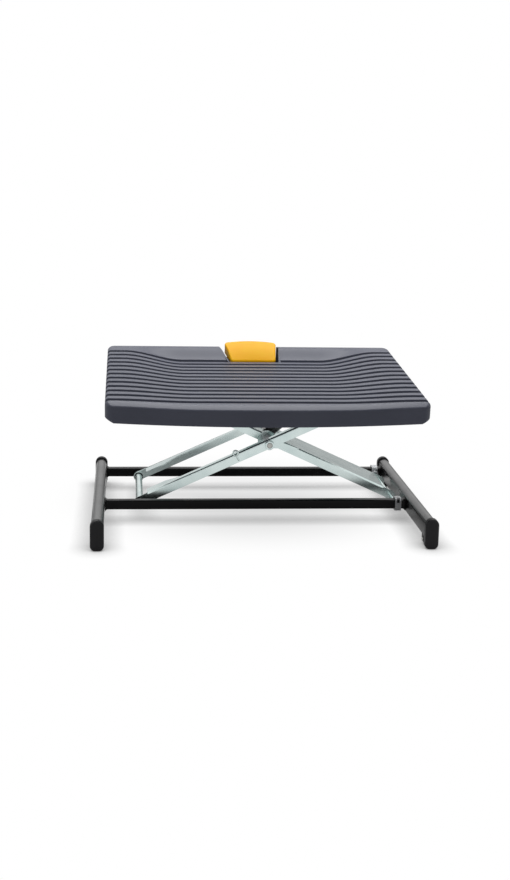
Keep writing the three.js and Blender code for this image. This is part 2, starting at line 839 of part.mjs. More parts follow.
// How deep the footplate's hollow lies below its wings at a place on the plate
function hollowAt(u, v) {
  const across = Math.abs(u);
  const run = THREE.MathUtils.clamp(v / bandStart, 0, 1);
  const rampEnd = THREE.MathUtils.lerp(rampEndFront, rampEndRear, run);
  const depth = THREE.MathUtils.lerp(hollowFront, hollowRear, run);
  const side = 1 - THREE.MathUtils.smoothstep(across, hollowHalf, rampEnd);
  const back = 1 - THREE.MathUtils.smoothstep(v, bandStart, plateDepth);
  return depth * side * back;
}

function frontEdge(u) {
  const share = (2 * u) / plateWidth;
  return -frontBow * (1 - Math.min(share * share, 1));
}

function plateTop(u, v) {
  const t = 1 - (v - frontEdge(u)) / frontRollLength;
  const roll = t > 0 ? frontRoll * Math.min(t * t, 1) : 0;
  return -hollowAt(u, v) - roll;
}

function skirtBottom(u) {
  const share = (2 * u) / plateWidth;
  const near = THREE.MathUtils.clamp(1 - (plateWidth / 2 - Math.abs(u)) / plateCorner, 0, 1);
  return sideRise * near - skirtDrop - skirtBelly * (1 - Math.min(share * share, 1));
}

// Plan outline of the plate: a bowed front edge and four round corners, drawn in by the inset
function planOutline(inset) {
  const half = plateWidth / 2 - inset;
  const [rear, r] = [plateDepth - inset, plateCorner - inset];
  const steps = 12;
  const shape = new THREE.Shape();
  shape.moveTo(-half, inset + r);
  shape.absarc(-half + r, inset + r, r, Math.PI, 1.5 * Math.PI);
  for (let i = 0; i <= steps; i++) {
    const u = (half - r) * ((2 * i) / steps - 1);
    shape.lineTo(u, frontEdge(u) + inset);
  }
  shape.absarc(half - r, inset + r, r, 1.5 * Math.PI, 2 * Math.PI);
  shape.absarc(half - r, rear - r, r, 0, Math.PI / 2);
  shape.absarc(-half + r, rear - r, r, Math.PI / 2, Math.PI);
  return shape;
}

function mirrored(values) {
  return [...values.map((x) => -x).reverse(), 0, ...values];
}

function gridLines() {
  const rampSteps = 4;
  const ramp = [];
  for (let i = 0; i <= rampSteps; i++)
    ramp.push(THREE.MathUtils.lerp(hollowHalf, rampEndRear, i / rampSteps));
  const edge = plateWidth / 2 + overrun;
  const across = mirrored([...ramp, edge]);
  const us = mirrored([hollowHalf / 2, ...ramp, plateWidth / 2 - plateCorner, plateWidth / 2, edge]);
  const vs = [-frontBow - overrun];
  const frontSteps = 6;
  const frontSpan = frontBow + frontRollLength + grooveTop;
  for (let i = 0; i <= frontSteps; i++) vs.push(-frontBow + (frontSpan * i) / frontSteps);
  const middleSteps = 2;
  const start = vs[vs.length - 1];
  for (let i = 1; i <= middleSteps; i++) vs.push(THREE.MathUtils.lerp(start, bandStart, i / middleSteps));
  const bandSteps = 3;
  for (let i = 1; i <= bandSteps; i++) vs.push(THREE.MathUtils.lerp(bandStart, plateDepth, i / bandSteps));
  vs.push(plateDepth + overrun);
  return { us, vs, across };
}

// One groove's cutter: a trapezoid swept across the plate along its top
function grooveCutter(v, across) {
  const [top, bottom] = [grooveTop / 2, grooveBottom / 2];
  const rings = across.map((u) => {
    const floor = plateTop(u, v) - grooveDepth;
    const roof = floor + grooveDepth + overrun;
    const wide = top + ((top - bottom) * overrun) / grooveDepth;
    return [
      new THREE.Vector3(u, v - bottom, floor),
      new THREE.Vector3(u, v + bottom, floor),
      new THREE.Vector3(u, v + wide, roof),
      new THREE.Vector3(u, v - wide, roof),
    ];
  });
  return loft(rings);
}

// Plan outline of the pedal's notch, whose left wall slants, let out by the given amount
function notchOutline(out, rear) {
  const share = (v) => (v - bandStart) / (plateDepth - bandStart);
  const left = (v) => THREE.MathUtils.lerp(notchLeftFront, notchLeftRear, share(v)) - out;
  const right = (v) => THREE.MathUtils.lerp(notchRightFront, notchRightRear, share(v)) + out;
  const front = bandStart - out;
  return polygon([
    [left(front), front],
    [right(front), front],
    [right(rear), rear],
    [left(rear), rear],
  ]);
}

// Footplate, in its own frame: u across, v up the slope and w square to it
function footplate(toPlate) {
  const { us, vs, across } = gridLines();
  const low = -skirtDrop - skirtBelly - overrun;
  const high = overrun;
  const planBlock = (inset) => solid(alongZ(planOutline(inset), 2 * low, high, 3));
  const outer = solid(gridBlock(us, vs, plateTop, skirtBottom)).intersect(planBlock(0));
  const under = (u, v) => plateTop(u, v) - shellTop;
  const cavity = solid(gridBlock(us, vs, under, () => low)).intersect(planBlock(shellWall));
  const wallBlock = alongZ(notchOutline(notchWall, plateDepth), -notchWallDrop, high);
  const shell = outer.subtract(cavity).add(outer.intersect(solid(wallBlock)));
  const notch = alongZ(notchOutline(0, plateDepth - shellWall - seat), low, high);
  const notchGate = alongZ(notchOutline(0, plateDepth + overrun), -notchSkirtDrop, high);
  const grooves = Array.from({ length: grooveCount }, (_, i) => grooveStart + groovePitch * i);
  const cutters = grooves.map((v) => grooveCutter(v, across));
  const carved = without(shell, notch, notchGate, ...cutters);
  const below = (u, v) => plateTop(u, v) - shellTop / 2;
  const room = solid(gridBlock(us, vs, below, () => 2 * low)).intersect(planBlock(shellWall - seat));
  const posts = plateBosses().map((post) => solid(post.applyMatrix4(toPlate)).intersect(room));
  const whole = posts.reduce((made, post) => made.add(post), carved);
  return without(whole, ...plateHoles().map((hole) => hole.applyMatrix4(toPlate)));
}

// Bosses and ribs under the plate, upright in the world frame, that run up past the shell
function plateBosses() {
  const roof = plateFrontZ + plateDepth * Math.sin(plateTilt) + overrun;
  const posts = [-1, 1].flatMap((side) =>
    screwPlaces.map((x) => barZ(bossRadius, x, centreY + side * screwLine(), railTop + seat, roof)),
  );
  const [y0, y1] = [shaftY - ribHalfWidth, shaftY + ribHalfWidth];
  const ribs = ribPlaces.map((x) =>
    box(x - ribThick / 2, x + ribThick / 2, y0, y1, shaftHeight - hubRadius, roof),
  );
  return [...posts, ...ribs];
}

function plateHoles() {
  const holes = [-1, 1].flatMap((side) =>
    screwPlaces.map((x) => {
      const y = centreY + side * screwLine();
      return barZ(screwRadius + seat, x, y, railTop - overrun, railTop + screwGrip + seat);
    }),
  );
  const [from, to] = [ribPlaces[0] - overrun, ribPlaces[1] + overrun];
  return [...holes, barX(shaftRadius + turning, shaftY, shaftHeight, from, to)];
}

// Pedal: an arched cap whose sides run down, hollow below, with a block for the lever's screw
function pedal() {
  const arch = (inset, drop, from, to, sideDrop) => {
    const steps = 8;
    const stations = 5;
    const rings = [];
    for (let i = 0; i <= stations; i++) {
      const share = i / stations;
      const v = THREE.MathUtils.lerp(from, to, share);
      const along = (v - pedalFront) / (pedalRear - pedalFront);
      const half = THREE.MathUtils.lerp(pedalHalfFront, pedalHalfRear, along) - inset;
      const lean = THREE.MathUtils.lerp(pedalLeanFront, pedalLeanRear, along);
      const low = THREE.MathUtils.lerp(-pedalDropFront, pedalRiseRear, along) - drop;
      const edge = low + pedalBulge * Math.sin(Math.PI * along);
      const side = THREE.MathUtils.lerp(pedalSideFront, pedalSideRear, along) + sideDrop;
      const ring = [];
      for (let j = 0; j <= steps; j++) {
        const x = 1 - (2 * j) / steps;
        ring.push(new THREE.Vector3(lean - x * half, v, edge + pedalCrown * (1 - x * x) * along));
      }
      ring.push(new THREE.Vector3(lean + half, v, low - side));
      ring.push(new THREE.Vector3(lean - half, v, low - side));
      rings.push(ring);
    }
    return loft(rings);
  };
  const outer = solid(arch(0, 0, pedalFront, pedalRear, 0));
  const inner = arch(pedalWall, pedalWall, pedalFront + pedalWall, pedalRear - pedalWall, overrun);
  const blockHalf = leverWidth / 2 + pedalWall;
  const roof = pedalRiseRear + pedalCrown + pedalBulge;
  const block = box(-blockHalf, blockHalf, pedalFront, pedalRear, -notchWallDrop, roof);
  return outer.subtract(solid(inner)).add(outer.intersect(solid(block)));
}

// Where the pedal's underside lies at its block, as [y, z] in the world frame
function pedalUnder(share) {
  const v = THREE.MathUtils.lerp(pedalFront, pedalRear, share);
  const w =
    THREE.MathUtils.lerp(-pedalDropFront, pedalRiseRear, share) -
    THREE.MathUtils.lerp(pedalSideFront, pedalSideRear, share);
  const [c, s] = [Math.cos(plateTilt), Math.sin(plateTilt)];
  return [plateFrontY + v * c - w * s, plateFrontZ + v * s + w * c - seat];
}

// Lever under the pedal: a bent flat bar with a hub on the release shaft
function pedalLever() {
  const [near, far] = [pedalUnder(0), pedalUnder(leverShare)];
  const [y0, z0] = near;
  const lowY = y0 - leverDrop;
  const lowZ = z0 - leverDrop;
  const bar = polygon([
    [shaftY, shaftHeight - leverThick / 2],
    [lowY, lowZ - leverThick],
    [y0, z0 - leverThick],
    [far[0], far[1] - leverThick],
    far,
    near,
    [lowY, lowZ],
    [shaftY, shaftHeight + leverThick / 2],
  ]);
  const half = leverWidth / 2;
  const body = joined(alongX(bar, -half, half), barX(hubRadius, shaftY, shaftHeight, -half, half));
  return without(body, barX(shaftRadius + seat, shaftY, shaftHeight, -half - overrun, half + overrun));
}

// Finger on the release shaft, whose tip lies on the gas spring's release pin
function releaseFinger() {
  const tipY = shaftY + fingerReach;
  const pinTop = springTopZ + (releaseTip + releaseRadius) * Math.sin(springAngle);
  const tipTop = pinTop + fingerPlay + leverThick / 2;
  const bar = polygon([
    [shaftY, shaftHeight],
    [centreY - releaseRadius - overrun, tipTop - leverThick / 2],
    [tipY, tipTop - leverThick / 2],
    [tipY, tipTop],
    [centreY - releaseRadius - overrun, tipTop],
    [shaftY, shaftHeight + hubRadius / 2],
  ]);
  const half = fingerWidth / 2;
  const body = joined(alongX(bar, -half, half), barX(hubRadius, shaftY, shaftHeight, -half, half));
  return without(body, barX(shaftRadius + seat, shaftY, shaftHeight, -half - overrun, half + overrun));
}

function plateScrew() {
  const low = -railSheet - seat;
  return turnedY([
    [0, low - screwHeadHeight],
    [screwHead / 2, low - screwHeadHeight],
    [screwHead, low - screwHeadHeight / 2],
    [screwHead, low],
    [screwRadius, low],
    [screwRadius, screwGrip],
    [0, screwGrip],
  ], 16).rotateX(Math.PI / 2);
}

function buildCarriage() {
  const place = frameAt(root, 0, centreY, upperHeight, 0);
  add(place, "front_rail", rail(-1), zinc());
  add(place, "rear_rail", rail(1), zinc());
  const rod = shoulderedRod(upperRodRadius, upperRodEnd, railWebOut - railSheet - seat, railWebOut + seat);
  add(place, "upper_pivot_rod", rod, zinc()).position.x = pivotX;
  add(place, "spring_bracket", springBracket(), zinc());
  add(place, "spring_top_pin", springTopPin(), steel()).position.set(springTopX, 0, -springTopDrop);
  [["front", -1], ["rear", 1]].forEach(([end, side]) =>
    screwPlaces.forEach((x, i) => {
      const screw = add(root, end + "_" + ["left", "right"][i] + "_plate_screw", plateScrew(), steel());
      screw.position.set(x, centreY + side * screwLine(), railTop);
    }),
  );
  const slope = frameAt(root, plateShift, plateFrontY, plateFrontZ, 0);
  slope.rotation.x = plateTilt;
  slope.updateMatrix();
  const toPlate = slope.matrix.clone().invert();
  add(slope, "footplate", footplate(toPlate), platePlastic());
  const shifted = new THREE.Group();
  shifted.position.x = pedalShift;
  slope.add(shifted);
  add(shifted, "pedal", pedal(), amber());
  const middle = plateShift + pedalShift;
  add(root, "pedal_lever", pedalLever(), zinc()).position.x = middle;
  const [from, to] = [middle - shaftReach - ribThick, springTopX + shaftReach];
  const shaft = barX(shaftRadius, shaftY, shaftHeight, from, to);
  add(root, "release_shaft", shaft, steel());
  const fingerX = springTopX + bracketEar + seat + fingerWidth / 2;
  add(root, "release_finger", releaseFinger(), zinc()).position.x = fingerX;
}

// Gas spring, in its own frame: X runs from the crossing axle to the top pin
function buildSpring() {
  const frame = frameAt(root, crossingX, centreY, crossingHeight, -springAngle);
  const half = springEyeWidth / 2;
  const eye = barY(springEyeRadius, 0, 0, -half, half);
  const neck = barX(springNeck, 0, 0, 0, springEyeRadius + overrun);
  const body = barX(springRadius, 0, 0, springEyeRadius + turning, springBody, 24);
  const boreStart = springEyeRadius + 2 * turning + overrun;
  const bore = barX(springRodRadius + seat, 0, 0, boreStart, springBody + overrun);
  const axleHole = barY(axleRadius + turning, 0, 0, -half - overrun, half + overrun);
  add(frame, "gas_cylinder", without(joined(eye, neck, body), bore, axleHole), blackPaint());
  const rodEnd = springRest - headBefore - seat;
  const rodStart = springEyeRadius + 3 * turning + overrun;
  const rod = barX(springRodRadius, 0, 0, rodStart, rodEnd);
  add(frame, "gas_spring_rod", rod, steel());
  const [h0, h1] = [springRest - headBefore, springRest + headAfter];
  const head = box(h0, h1, -headWidth / 2, headWidth / 2, -headHalf, headHalf);
  const slotHalf = openAlong + headPin;
  const slotTall = openAcross + headPin;
  const [s0, s1] = [springRest - slotHalf, springRest + slotHalf];
  const slot = box(s0, s1, -half - overrun, half + overrun, -slotTall, slotTall);
  const pinHole = barX(releaseRadius + seat, 0, 0, springRest, h1 + overrun, 12);
  add(frame, "spring_head", without(joined(head), slot, pinHole), zinc());
  const pin = barX(releaseRadius, 0, 0, springRest + releaseFrom, springRest + releaseTip, 12);
  add(frame, "release_pin", pin, steel());
  for (const [end, side] of [["front", -1], ["rear", 1]]) {
    const [from, to] = [half + seat, innerHalfWidth - sheet - seat];
    const tube = add(frame, end + "_eye_sleeve", sleeve(from, to, sheet / 2), zinc());
    tube.rotation.z = side > 0 ? 0 : Math.PI;
  }
}

buildBase();
buildOuterFrame(frameAt(root, pivotX, centreY, pivotHeight, -restAngle));
const inner = frameAt(root, pivotX, centreY, upperHeight, restAngle);
add(inner, "inner_frame", innerFrame(), zinc());
buildSlide();
buildCarriage();
buildSpring();

export default root;
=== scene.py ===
# %% [markdown]
# # A footrest, dressed for its portrait
#
# The real object is an office footrest: a ribbed plastic plate on a scissor of zinc plated
# steel, which stands on two black oval tubes. A gas spring holds the height and an amber
# pedal at the rear of the plate frees it.
#
# The engineering model gives every place and every moving body. It could be shown as it is,
# but its edges are sharp and its rounds are coarse. So each piece is either made again here
# as a fine surface in the same place, or copied with its edges eased, and it rides on the
# same body as the part that it stands for.

import json
import math

import bmesh
import bpy
import numpy as np
from mathutils import Matrix, Vector

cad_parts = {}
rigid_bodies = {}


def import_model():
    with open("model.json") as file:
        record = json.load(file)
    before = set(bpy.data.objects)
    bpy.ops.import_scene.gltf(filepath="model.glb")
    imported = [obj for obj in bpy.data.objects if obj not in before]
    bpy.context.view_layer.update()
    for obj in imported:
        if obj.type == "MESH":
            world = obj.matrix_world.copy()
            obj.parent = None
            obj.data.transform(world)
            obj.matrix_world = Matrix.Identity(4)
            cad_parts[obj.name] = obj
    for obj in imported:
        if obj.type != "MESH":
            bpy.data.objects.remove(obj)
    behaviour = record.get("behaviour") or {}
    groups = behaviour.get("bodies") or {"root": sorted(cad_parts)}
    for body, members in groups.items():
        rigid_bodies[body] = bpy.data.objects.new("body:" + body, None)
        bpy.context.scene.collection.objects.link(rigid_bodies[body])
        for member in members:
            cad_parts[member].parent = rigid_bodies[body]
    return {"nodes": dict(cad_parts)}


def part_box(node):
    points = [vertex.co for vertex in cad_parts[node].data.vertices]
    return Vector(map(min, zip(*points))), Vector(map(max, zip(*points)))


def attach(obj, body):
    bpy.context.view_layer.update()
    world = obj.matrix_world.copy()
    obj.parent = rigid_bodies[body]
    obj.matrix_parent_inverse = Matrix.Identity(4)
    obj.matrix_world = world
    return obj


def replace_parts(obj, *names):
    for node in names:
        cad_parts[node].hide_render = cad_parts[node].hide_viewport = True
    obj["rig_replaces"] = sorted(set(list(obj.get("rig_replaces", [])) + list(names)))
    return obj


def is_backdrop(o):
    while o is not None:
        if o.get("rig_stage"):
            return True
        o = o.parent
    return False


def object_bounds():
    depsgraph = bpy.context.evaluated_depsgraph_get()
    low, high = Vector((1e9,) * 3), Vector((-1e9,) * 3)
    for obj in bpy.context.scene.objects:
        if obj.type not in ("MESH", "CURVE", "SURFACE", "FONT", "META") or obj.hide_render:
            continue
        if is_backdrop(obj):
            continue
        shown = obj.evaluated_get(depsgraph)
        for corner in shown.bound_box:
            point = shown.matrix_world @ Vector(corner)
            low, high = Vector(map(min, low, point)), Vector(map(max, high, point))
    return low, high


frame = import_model()
cad_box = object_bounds()
nodes = frame["nodes"]
MM = 0.001
print("nodes", len(nodes), "box", [tuple(round(c, 4) for c in corner) for corner in cad_box])

# %% [markdown]
# ## Small tools for surfaces
#
# A surface here is a stack of closed rings of points, all with the same count, so that
# neighbouring rings join with a band of four-sided faces. Rings could be typed point by
# point, but worked out as whole arrays they stay exact and can be as fine as the light
# needs. Points that fall together, at a pole or a corner, are merged at the end.


# %% From points to a piece
def in_scene(name, data):
    """A new object that holds the data, linked to the scene."""
    thing = bpy.data.objects.new(name, data)
    bpy.context.scene.collection.objects.link(thing)
    return thing


def as_object(name, points, faces, smooth_angle=32):
    """Points in millimetres become a mesh in metres, with doubles merged, faces turned
    outward, and smooth shading that breaks where faces meet at more than the angle."""
    mesh = bpy.data.meshes.new(name)
    mesh.from_pydata((np.asarray(points, float) * MM).tolist(), [], faces)
    shape = bmesh.new()
    shape.from_mesh(mesh)
    bmesh.ops.remove_doubles(shape, verts=shape.verts, dist=1e-6)
    bmesh.ops.dissolve_degenerate(shape, dist=1e-7, edges=shape.edges)
    bmesh.ops.recalc_face_normals(shape, faces=shape.faces)
    shape.to_mesh(mesh)
    shape.free()
    mesh.shade_smooth()
    mesh.set_sharp_from_angle(angle=math.radians(smooth_angle))
    return in_scene(name, mesh)


def ring_faces(rings, around, closed=False):
    """Four-sided faces between each ring and the next, and from the last back to the first
    where the stack is closed, as for a tube with a wall."""
    rows = np.arange(rings if closed else rings - 1)
    a = (rows[:, None] * around + np.arange(around)[None, :]).ravel()
    b = (rows[:, None] * around + (np.arange(around)[None, :] + 1) % around).ravel()
    up = around
    total = rings * around
    return np.stack([a, b, (b + up) % total, (a + up) % total], axis=1).tolist()


def ring_at(x, y, z):
    """A ring of points from their coordinates, where one number can serve the whole ring."""
    return np.column_stack(np.broadcast_arrays(x, y, z))


def from_rings(name, rings, closed=False, smooth_angle=32):
    """A stack of rings as an object. Its two ends are faces, unless the stack is closed."""
    around = len(rings[0])
    faces = ring_faces(len(rings), around, closed)
    if not closed:
        last = (len(rings) - 1) * around
        faces += [list(range(around))[::-1], list(range(last, last + around))]
    return as_object(name, np.concatenate(rings), faces, smooth_angle)


def dress(piece, body, material, stands_for=()):
    """The piece rides on its body, stands for the named nodes and wears the material."""
    piece.data.materials.clear()
    piece.data.materials.append(material)
    if stands_for:
        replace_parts(piece, *stands_for)
    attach(piece, body)


# %% [markdown]
# ## Turned parts
#
# Rods, nuts, rollers and the gas spring are round because a lathe made them. Their outline
# is given once, as distances along the axis and radii, and is carried round the axis. A
# modifier could do the turn, but the sum is one line and keeps the seam closed.


# %% The lathe
def turned(name, start, direction, outline, sides=48, smooth_angle=32):
    """Each outline point (along, radius) goes round the axis: the start plus along times
    the axis, plus the radius times cosine and sine of the turn on two axes across it."""
    axis = Vector(direction).normalized()
    across = axis.orthogonal().normalized()
    third = np.array(axis.cross(across))
    turn = np.linspace(0, 2 * math.pi, sides, endpoint=False)
    spokes = np.cos(turn)[:, None] * np.array(across) + np.sin(turn)[:, None] * third
    along, radius = np.array(outline, float).T
    points = (
        np.array(start, float)
        + along[:, None, None] * np.array(axis)
        + radius[:, None, None] * spokes[None, :, :]
    )
    closed = outline[0][1] > 0
    faces = ring_faces(len(outline), sides, closed)
    return as_object(name, points.reshape(-1, 3), faces, smooth_angle)


def eased_outline(outline, ease):
    """Each corner of an outline becomes two points, a little before it and a little after
    it, so that the edge catches the light as a real one does. Ends on the axis stay."""
    corners = np.array(outline, float)
    closed = corners[0, 1] > 0
    before, after = np.roll(corners, 1, axis=0), np.roll(corners, -1, axis=0)
    made = []
    for i, corner in enumerate(corners):
        if not closed and i in (0, len(corners) - 1):
            made.append(corner)
            continue
        for toward in (before[i] - corner, after[i] - corner):
            length = np.linalg.norm(toward)
            made.append(corner + toward / length * min(ease, 0.45 * length))
    return made


# %% [markdown]
# ## Sheet steel copies
#
# Sheet steel parts are right in shape already. What gives them away as a drawing is their
# knife edges: sheet folds round a radius of about its own thickness, and its cut edges are
# a few tenths of a millimetre round. Each copy is merged, what the folds take off the sharp
# corners is cut away, and a narrow bevel goes along the edges that stay. The modifier that
# weighs normals by area keeps the large faces flat.


# %% Copies, folds and eased edges
def merged_copy(name, node):
    """The node's mesh, with its doubles merged and its flat areas made whole."""
    mesh = nodes[node].data.copy()
    mesh.name = name
    shape = bmesh.new()
    shape.from_mesh(mesh)
    bmesh.ops.remove_doubles(shape, verts=shape.verts, dist=2e-6)
    bmesh.ops.dissolve_limit(
        shape, angle_limit=math.radians(1.0), verts=shape.verts, edges=shape.edges
    )
    shape.to_mesh(mesh)
    shape.free()
    return in_scene(name, mesh)


def cut_by(piece, tool):
    """Cuts the tool out of the piece, exactly, and removes the tool."""
    modifier = piece.modifiers.new("cut", "BOOLEAN")
    modifier.operation = "DIFFERENCE"
    modifier.solver = "EXACT"
    modifier.object = tool
    bpy.context.view_layer.update()
    deps = bpy.context.evaluated_depsgraph_get()
    mesh = bpy.data.meshes.new_from_object(piece.evaluated_get(deps), depsgraph=deps)
    piece.modifiers.clear()
    piece.data = mesh
    bpy.data.objects.remove(tool)


def fold_tool(start, end, face_a, face_b, radius):
    """What a fold takes off a sharp corner, carried along it: the corner of the two faces,
    less the quarter round that touches both."""
    a, b = np.array(face_a, float), np.array(face_b, float)
    turn = np.radians(np.linspace(0, 90, 9))[:, None]
    arc = radius * (np.cos(turn) * a + np.sin(turn) * b - a - b)
    overrun = 0.4
    section = [[overrun * (a + b)], [overrun * a - radius * b], arc, [overrun * b - radius * a]]
    section = np.concatenate(section)
    return from_rings("fold", [np.array(start) + section, np.array(end) + section])


def ease(piece, width, segments):
    """A bevel along the edges that are sharper than 34 degrees, and normals by area."""
    piece.data.shade_smooth()
    bevel = piece.modifiers.new("eased edges", "BEVEL")
    bevel.width = width * MM
    bevel.segments = segments
    bevel.limit_method = "ANGLE"
    bevel.angle_limit = math.radians(34)
    bevel.use_clamp_overlap = True
    normals = piece.modifiers.new("flat faces", "WEIGHTED_NORMAL")
    normals.keep_sharp = True
    return piece


# %% [markdown]
# ## Camera
#
# The photograph was taken from the front, a little to the left and above, at about two
# metres. The picture's lines gave the distance, the turn and the tilt, so the camera is set
# from those numbers instead of by eye. The long side of the picture is 36 mm of film.

# %% Set the camera
camera_data = bpy.data.cameras.new("camera")
camera = in_scene("camera", camera_data)
bpy.context.scene.camera = camera
FOCAL_PIXELS = 1370
PICTURE_HEIGHT = 880
FILM = 36
PLACE = (-0.19515, -2.01968, 0.562)
camera_data.sensor_fit = "AUTO"
camera_data.sensor_width = FILM
camera_data.lens = FOCAL_PIXELS * FILM / PICTURE_HEIGHT
camera_data.clip_end = 50
yaw, pitch, roll = (math.radians(a) for a in (5.51, 12.42, 1.27))
forward = Vector(
    (math.sin(yaw) * math.cos(pitch), math.cos(yaw) * math.cos(pitch), -math.sin(pitch))
)
level = Vector((math.cos(yaw), -math.sin(yaw), 0))
upright = level.cross(forward)
right = math.cos(roll) * level + math.sin(roll) * upright
up = -math.sin(roll) * level + math.cos(roll) * upright
rows = [(right[i], up[i], -forward[i], PLACE[i]) for i in range(3)]
camera.matrix_world = Matrix((*rows, (0, 0, 0, 1)))
print("lens", round(camera_data.lens, 3), "mm, looks", tuple(round(c, 3) for c in forward))

# %% [markdown]
# ## Finishes
#
# Every finish is built from nodes, so that it stays sharp at any size. Colours are written
# as the hex values that a picture program shows and are turned to linear light by one
# function. Patterns use Object coordinates, which are metres here, so a pattern's scale is
# one over its real size.


# %% Colour and node helpers
def linear(code):
    """A hex colour as linear red, green, blue and alpha: a low value over 12.92, a high one
    by the 2.4 power curve."""
    srgb = np.array([int(code[i : i + 2], 16) for i in (1, 3, 5)]) / 255
    light = np.where(srgb <= 0.04045, srgb / 12.92, ((srgb + 0.055) / 1.055) ** 2.4)
    return (*light.tolist(), 1.0)


def add_node(tree, kind, inputs=None, **settings):
    """Adds a node, sets its properties, and sets or links each named or numbered input."""
    node = tree.nodes.new(kind)
    for key, value in settings.items():
        setattr(node, key, value)
    for key, value in (inputs or {}).items():
        if isinstance(value, bpy.types.NodeSocket):
            tree.links.new(value, node.inputs[key])
        else:
            node.inputs[key].default_value = value
    return node


def per_millimetre(size):
    """The scale that makes a pattern repeat about once in that many millimetres."""
    return 1 / (size * MM)


def finish_for(name, **shader):
    """A new material with its Principled shader's own sockets set, its tree and shader."""
    material = bpy.data.materials.new(name)
    material.use_nodes = True
    tree = material.node_tree
    principled = tree.nodes["Principled BSDF"]
    for key, value in shader.items():
        principled.inputs[key.replace("_", " ")].default_value = value
    return material, tree, principled


def patterned(name, tints, clouds, grain, relief, gloss=None, gloss_from="grain", **shader):
    """A finish of two patterns. The clouds run the base colour from the first tint to the
    second, and the grain raises the surface by the relief in millimetres. One of the two
    runs the roughness through the gloss. A pattern is noise, given by the size of a blotch
    in millimetres, its detail and its roughness, or rings, given by their distance."""
    material, tree, principled = finish_for(name, **shader)
    place = add_node(tree, "ShaderNodeTexCoord").outputs["Object"]
    patterns = {}
    for part, (size, *noise) in (("clouds", clouds), ("grain", grain)):
        inputs = {"Vector": place, "Scale": per_millimetre(size)}
        if noise:
            inputs.update({"Detail": noise[0], "Roughness": noise[1]})
            pattern = add_node(tree, "ShaderNodeTexNoise", inputs)
        else:
            # A wave comes back after a tenth of pi, where noise does after about one
            inputs.update({"Scale": per_millimetre(size) * math.pi / 10, "Distortion": 0.4})
            pattern = add_node(tree, "ShaderNodeTexWave", inputs, bands_direction="Y")
        # Noise seldom leaves 0.3 to 0.7, but rings run from 0 to 1
        low, high = (0.3, 0.7) if noise else (0, 1)
        patterns[part] = {0: pattern.outputs["Fac"], 1: low, 2: high}
    spread = add_node(tree, "ShaderNodeMapRange", patterns["clouds"]).outputs[0]
    inputs = {0: spread, 6: linear(tints[0]), 7: linear(tints[1])}
    tint = add_node(tree, "ShaderNodeMix", inputs, data_type="RGBA").outputs[2]
    tree.links.new(tint, principled.inputs["Base Color"])
    if gloss:
        inputs = {**patterns[gloss_from], 3: gloss[0], 4: gloss[1]}
        rough = add_node(tree, "ShaderNodeMapRange", inputs).outputs[0]
        tree.links.new(rough, principled.inputs["Roughness"])
    inputs = {"Height": patterns["grain"][0], "Distance": relief * MM, "Strength": 1.0}
    bump = add_node(tree, "ShaderNodeBump", inputs).outputs["Normal"]
    tree.links.new(bump, principled.inputs["Normal"])
    return material


# %% [markdown]
# ### Moulded grey ABS
#
# The plate is injection moulded. Its tool was spark eroded, which leaves a fine even grain
# of about half a millimetre that scatters the light and turns a grazing reflection into a
# soft sheen. The colour is a cool grey with very slight clouds where the plastic flowed.


# %% The plate's plastic
def moulded_grain(name, tints, roughness, grain=0.55, relief=0.03, shine=0.5):
    """Slow clouds between two close colours, and a fine grain in the bump and the gloss."""
    gloss = (roughness - 0.06, roughness + 0.06)
    shader = {"Roughness": roughness, "Specular_IOR_Level": shine}
    return patterned(name, tints, (60, 3, 0.5), (grain, 2, 0.6), relief, gloss, **shader)


plate_abs = moulded_grain("moulded_grey_abs", ("#484B59", "#4E515F"), 0.42, shine=0.28)
print("made", plate_abs.name)

# %% [markdown]
# ### Zinc plate
#
# The steel strip was bright zinc plated and passivated, which leaves a pale metal with a
# blue-green cast. It isn't polished: it blurs what it reflects, and the strip's rolling
# direction and the bath leave faint clouds.


# %% Zinc on sheet steel
# Clouds of 30 mm, and a fine tooth of 1.2 mm in the bump and the gloss
zinc_sheet = patterned(
    "zinc_plated_steel",
    tints=("#C6D5D4", "#D9E5E3"),
    clouds=(30, 2, 0.45),
    grain=(1.2, 3, 0.6),
    relief=0.0025,
    gloss=(0.22, 0.26),
    Metallic=1.0,
)
print("made", zinc_sheet.name)

# %% [markdown]
# ### Turned steel
#
# Rods and pins were turned and left bare or lightly oiled. The tool leaves fine rings round
# the axis, which stretch a highlight along the rod. The rings are a wave along Y, the way
# that most of the rods lie. Steel is darker and warmer than zinc plate.


# %% Bare turned steel
# Real rings are far finer, but these are 3.77 mm apart, as coarse as the picture needs
bare_steel = patterned(
    "turned_steel",
    tints=("#8F908E", "#B8B8B4"),
    clouds=(9, 2, 0.5),
    grain=(3.77,),
    relief=0.008,
    gloss=(0.22, 0.33),
    Metallic=1.0,
    Roughness=0.26,
)
print("made", bare_steel.name)

# %% [markdown]
# ### Gloss black paint
#
# The tubes are sprayed black. Sprayed paint levels into a faint orange peel, waves of two
# or three millimetres that make a reflection swim a little. The paint is dark enough that
# nearly all that is seen is the reflection on its smooth coat. The side tubes have a full
# coat, and the cross tubes a thin one that shines less.


# %% Black paint, on tubes and on the spring's cylinder
def sprayed_black(name, shine, coat):
    """Orange peel as noise of 2.6 mm in the bump, and clouds in the colour and the gloss."""
    return patterned(
        name,
        tints=("#0B0B0C", "#121214"),
        clouds=(30, 2, 0.5),
        grain=(2.6, 1, 0.5),
        relief=0.02,
        gloss=(0.27, 0.35),
        gloss_from="clouds",
        Coat_Weight=coat,
        Coat_Roughness=0.12,
        Specular_IOR_Level=shine,
    )


black_paint = sprayed_black("sprayed_black_paint", shine=0.5, coat=0.35)
thin_black_paint = sprayed_black("thin_black_paint", shine=0.12, coat=0.0)
print("made", black_paint.name, thin_black_paint.name)

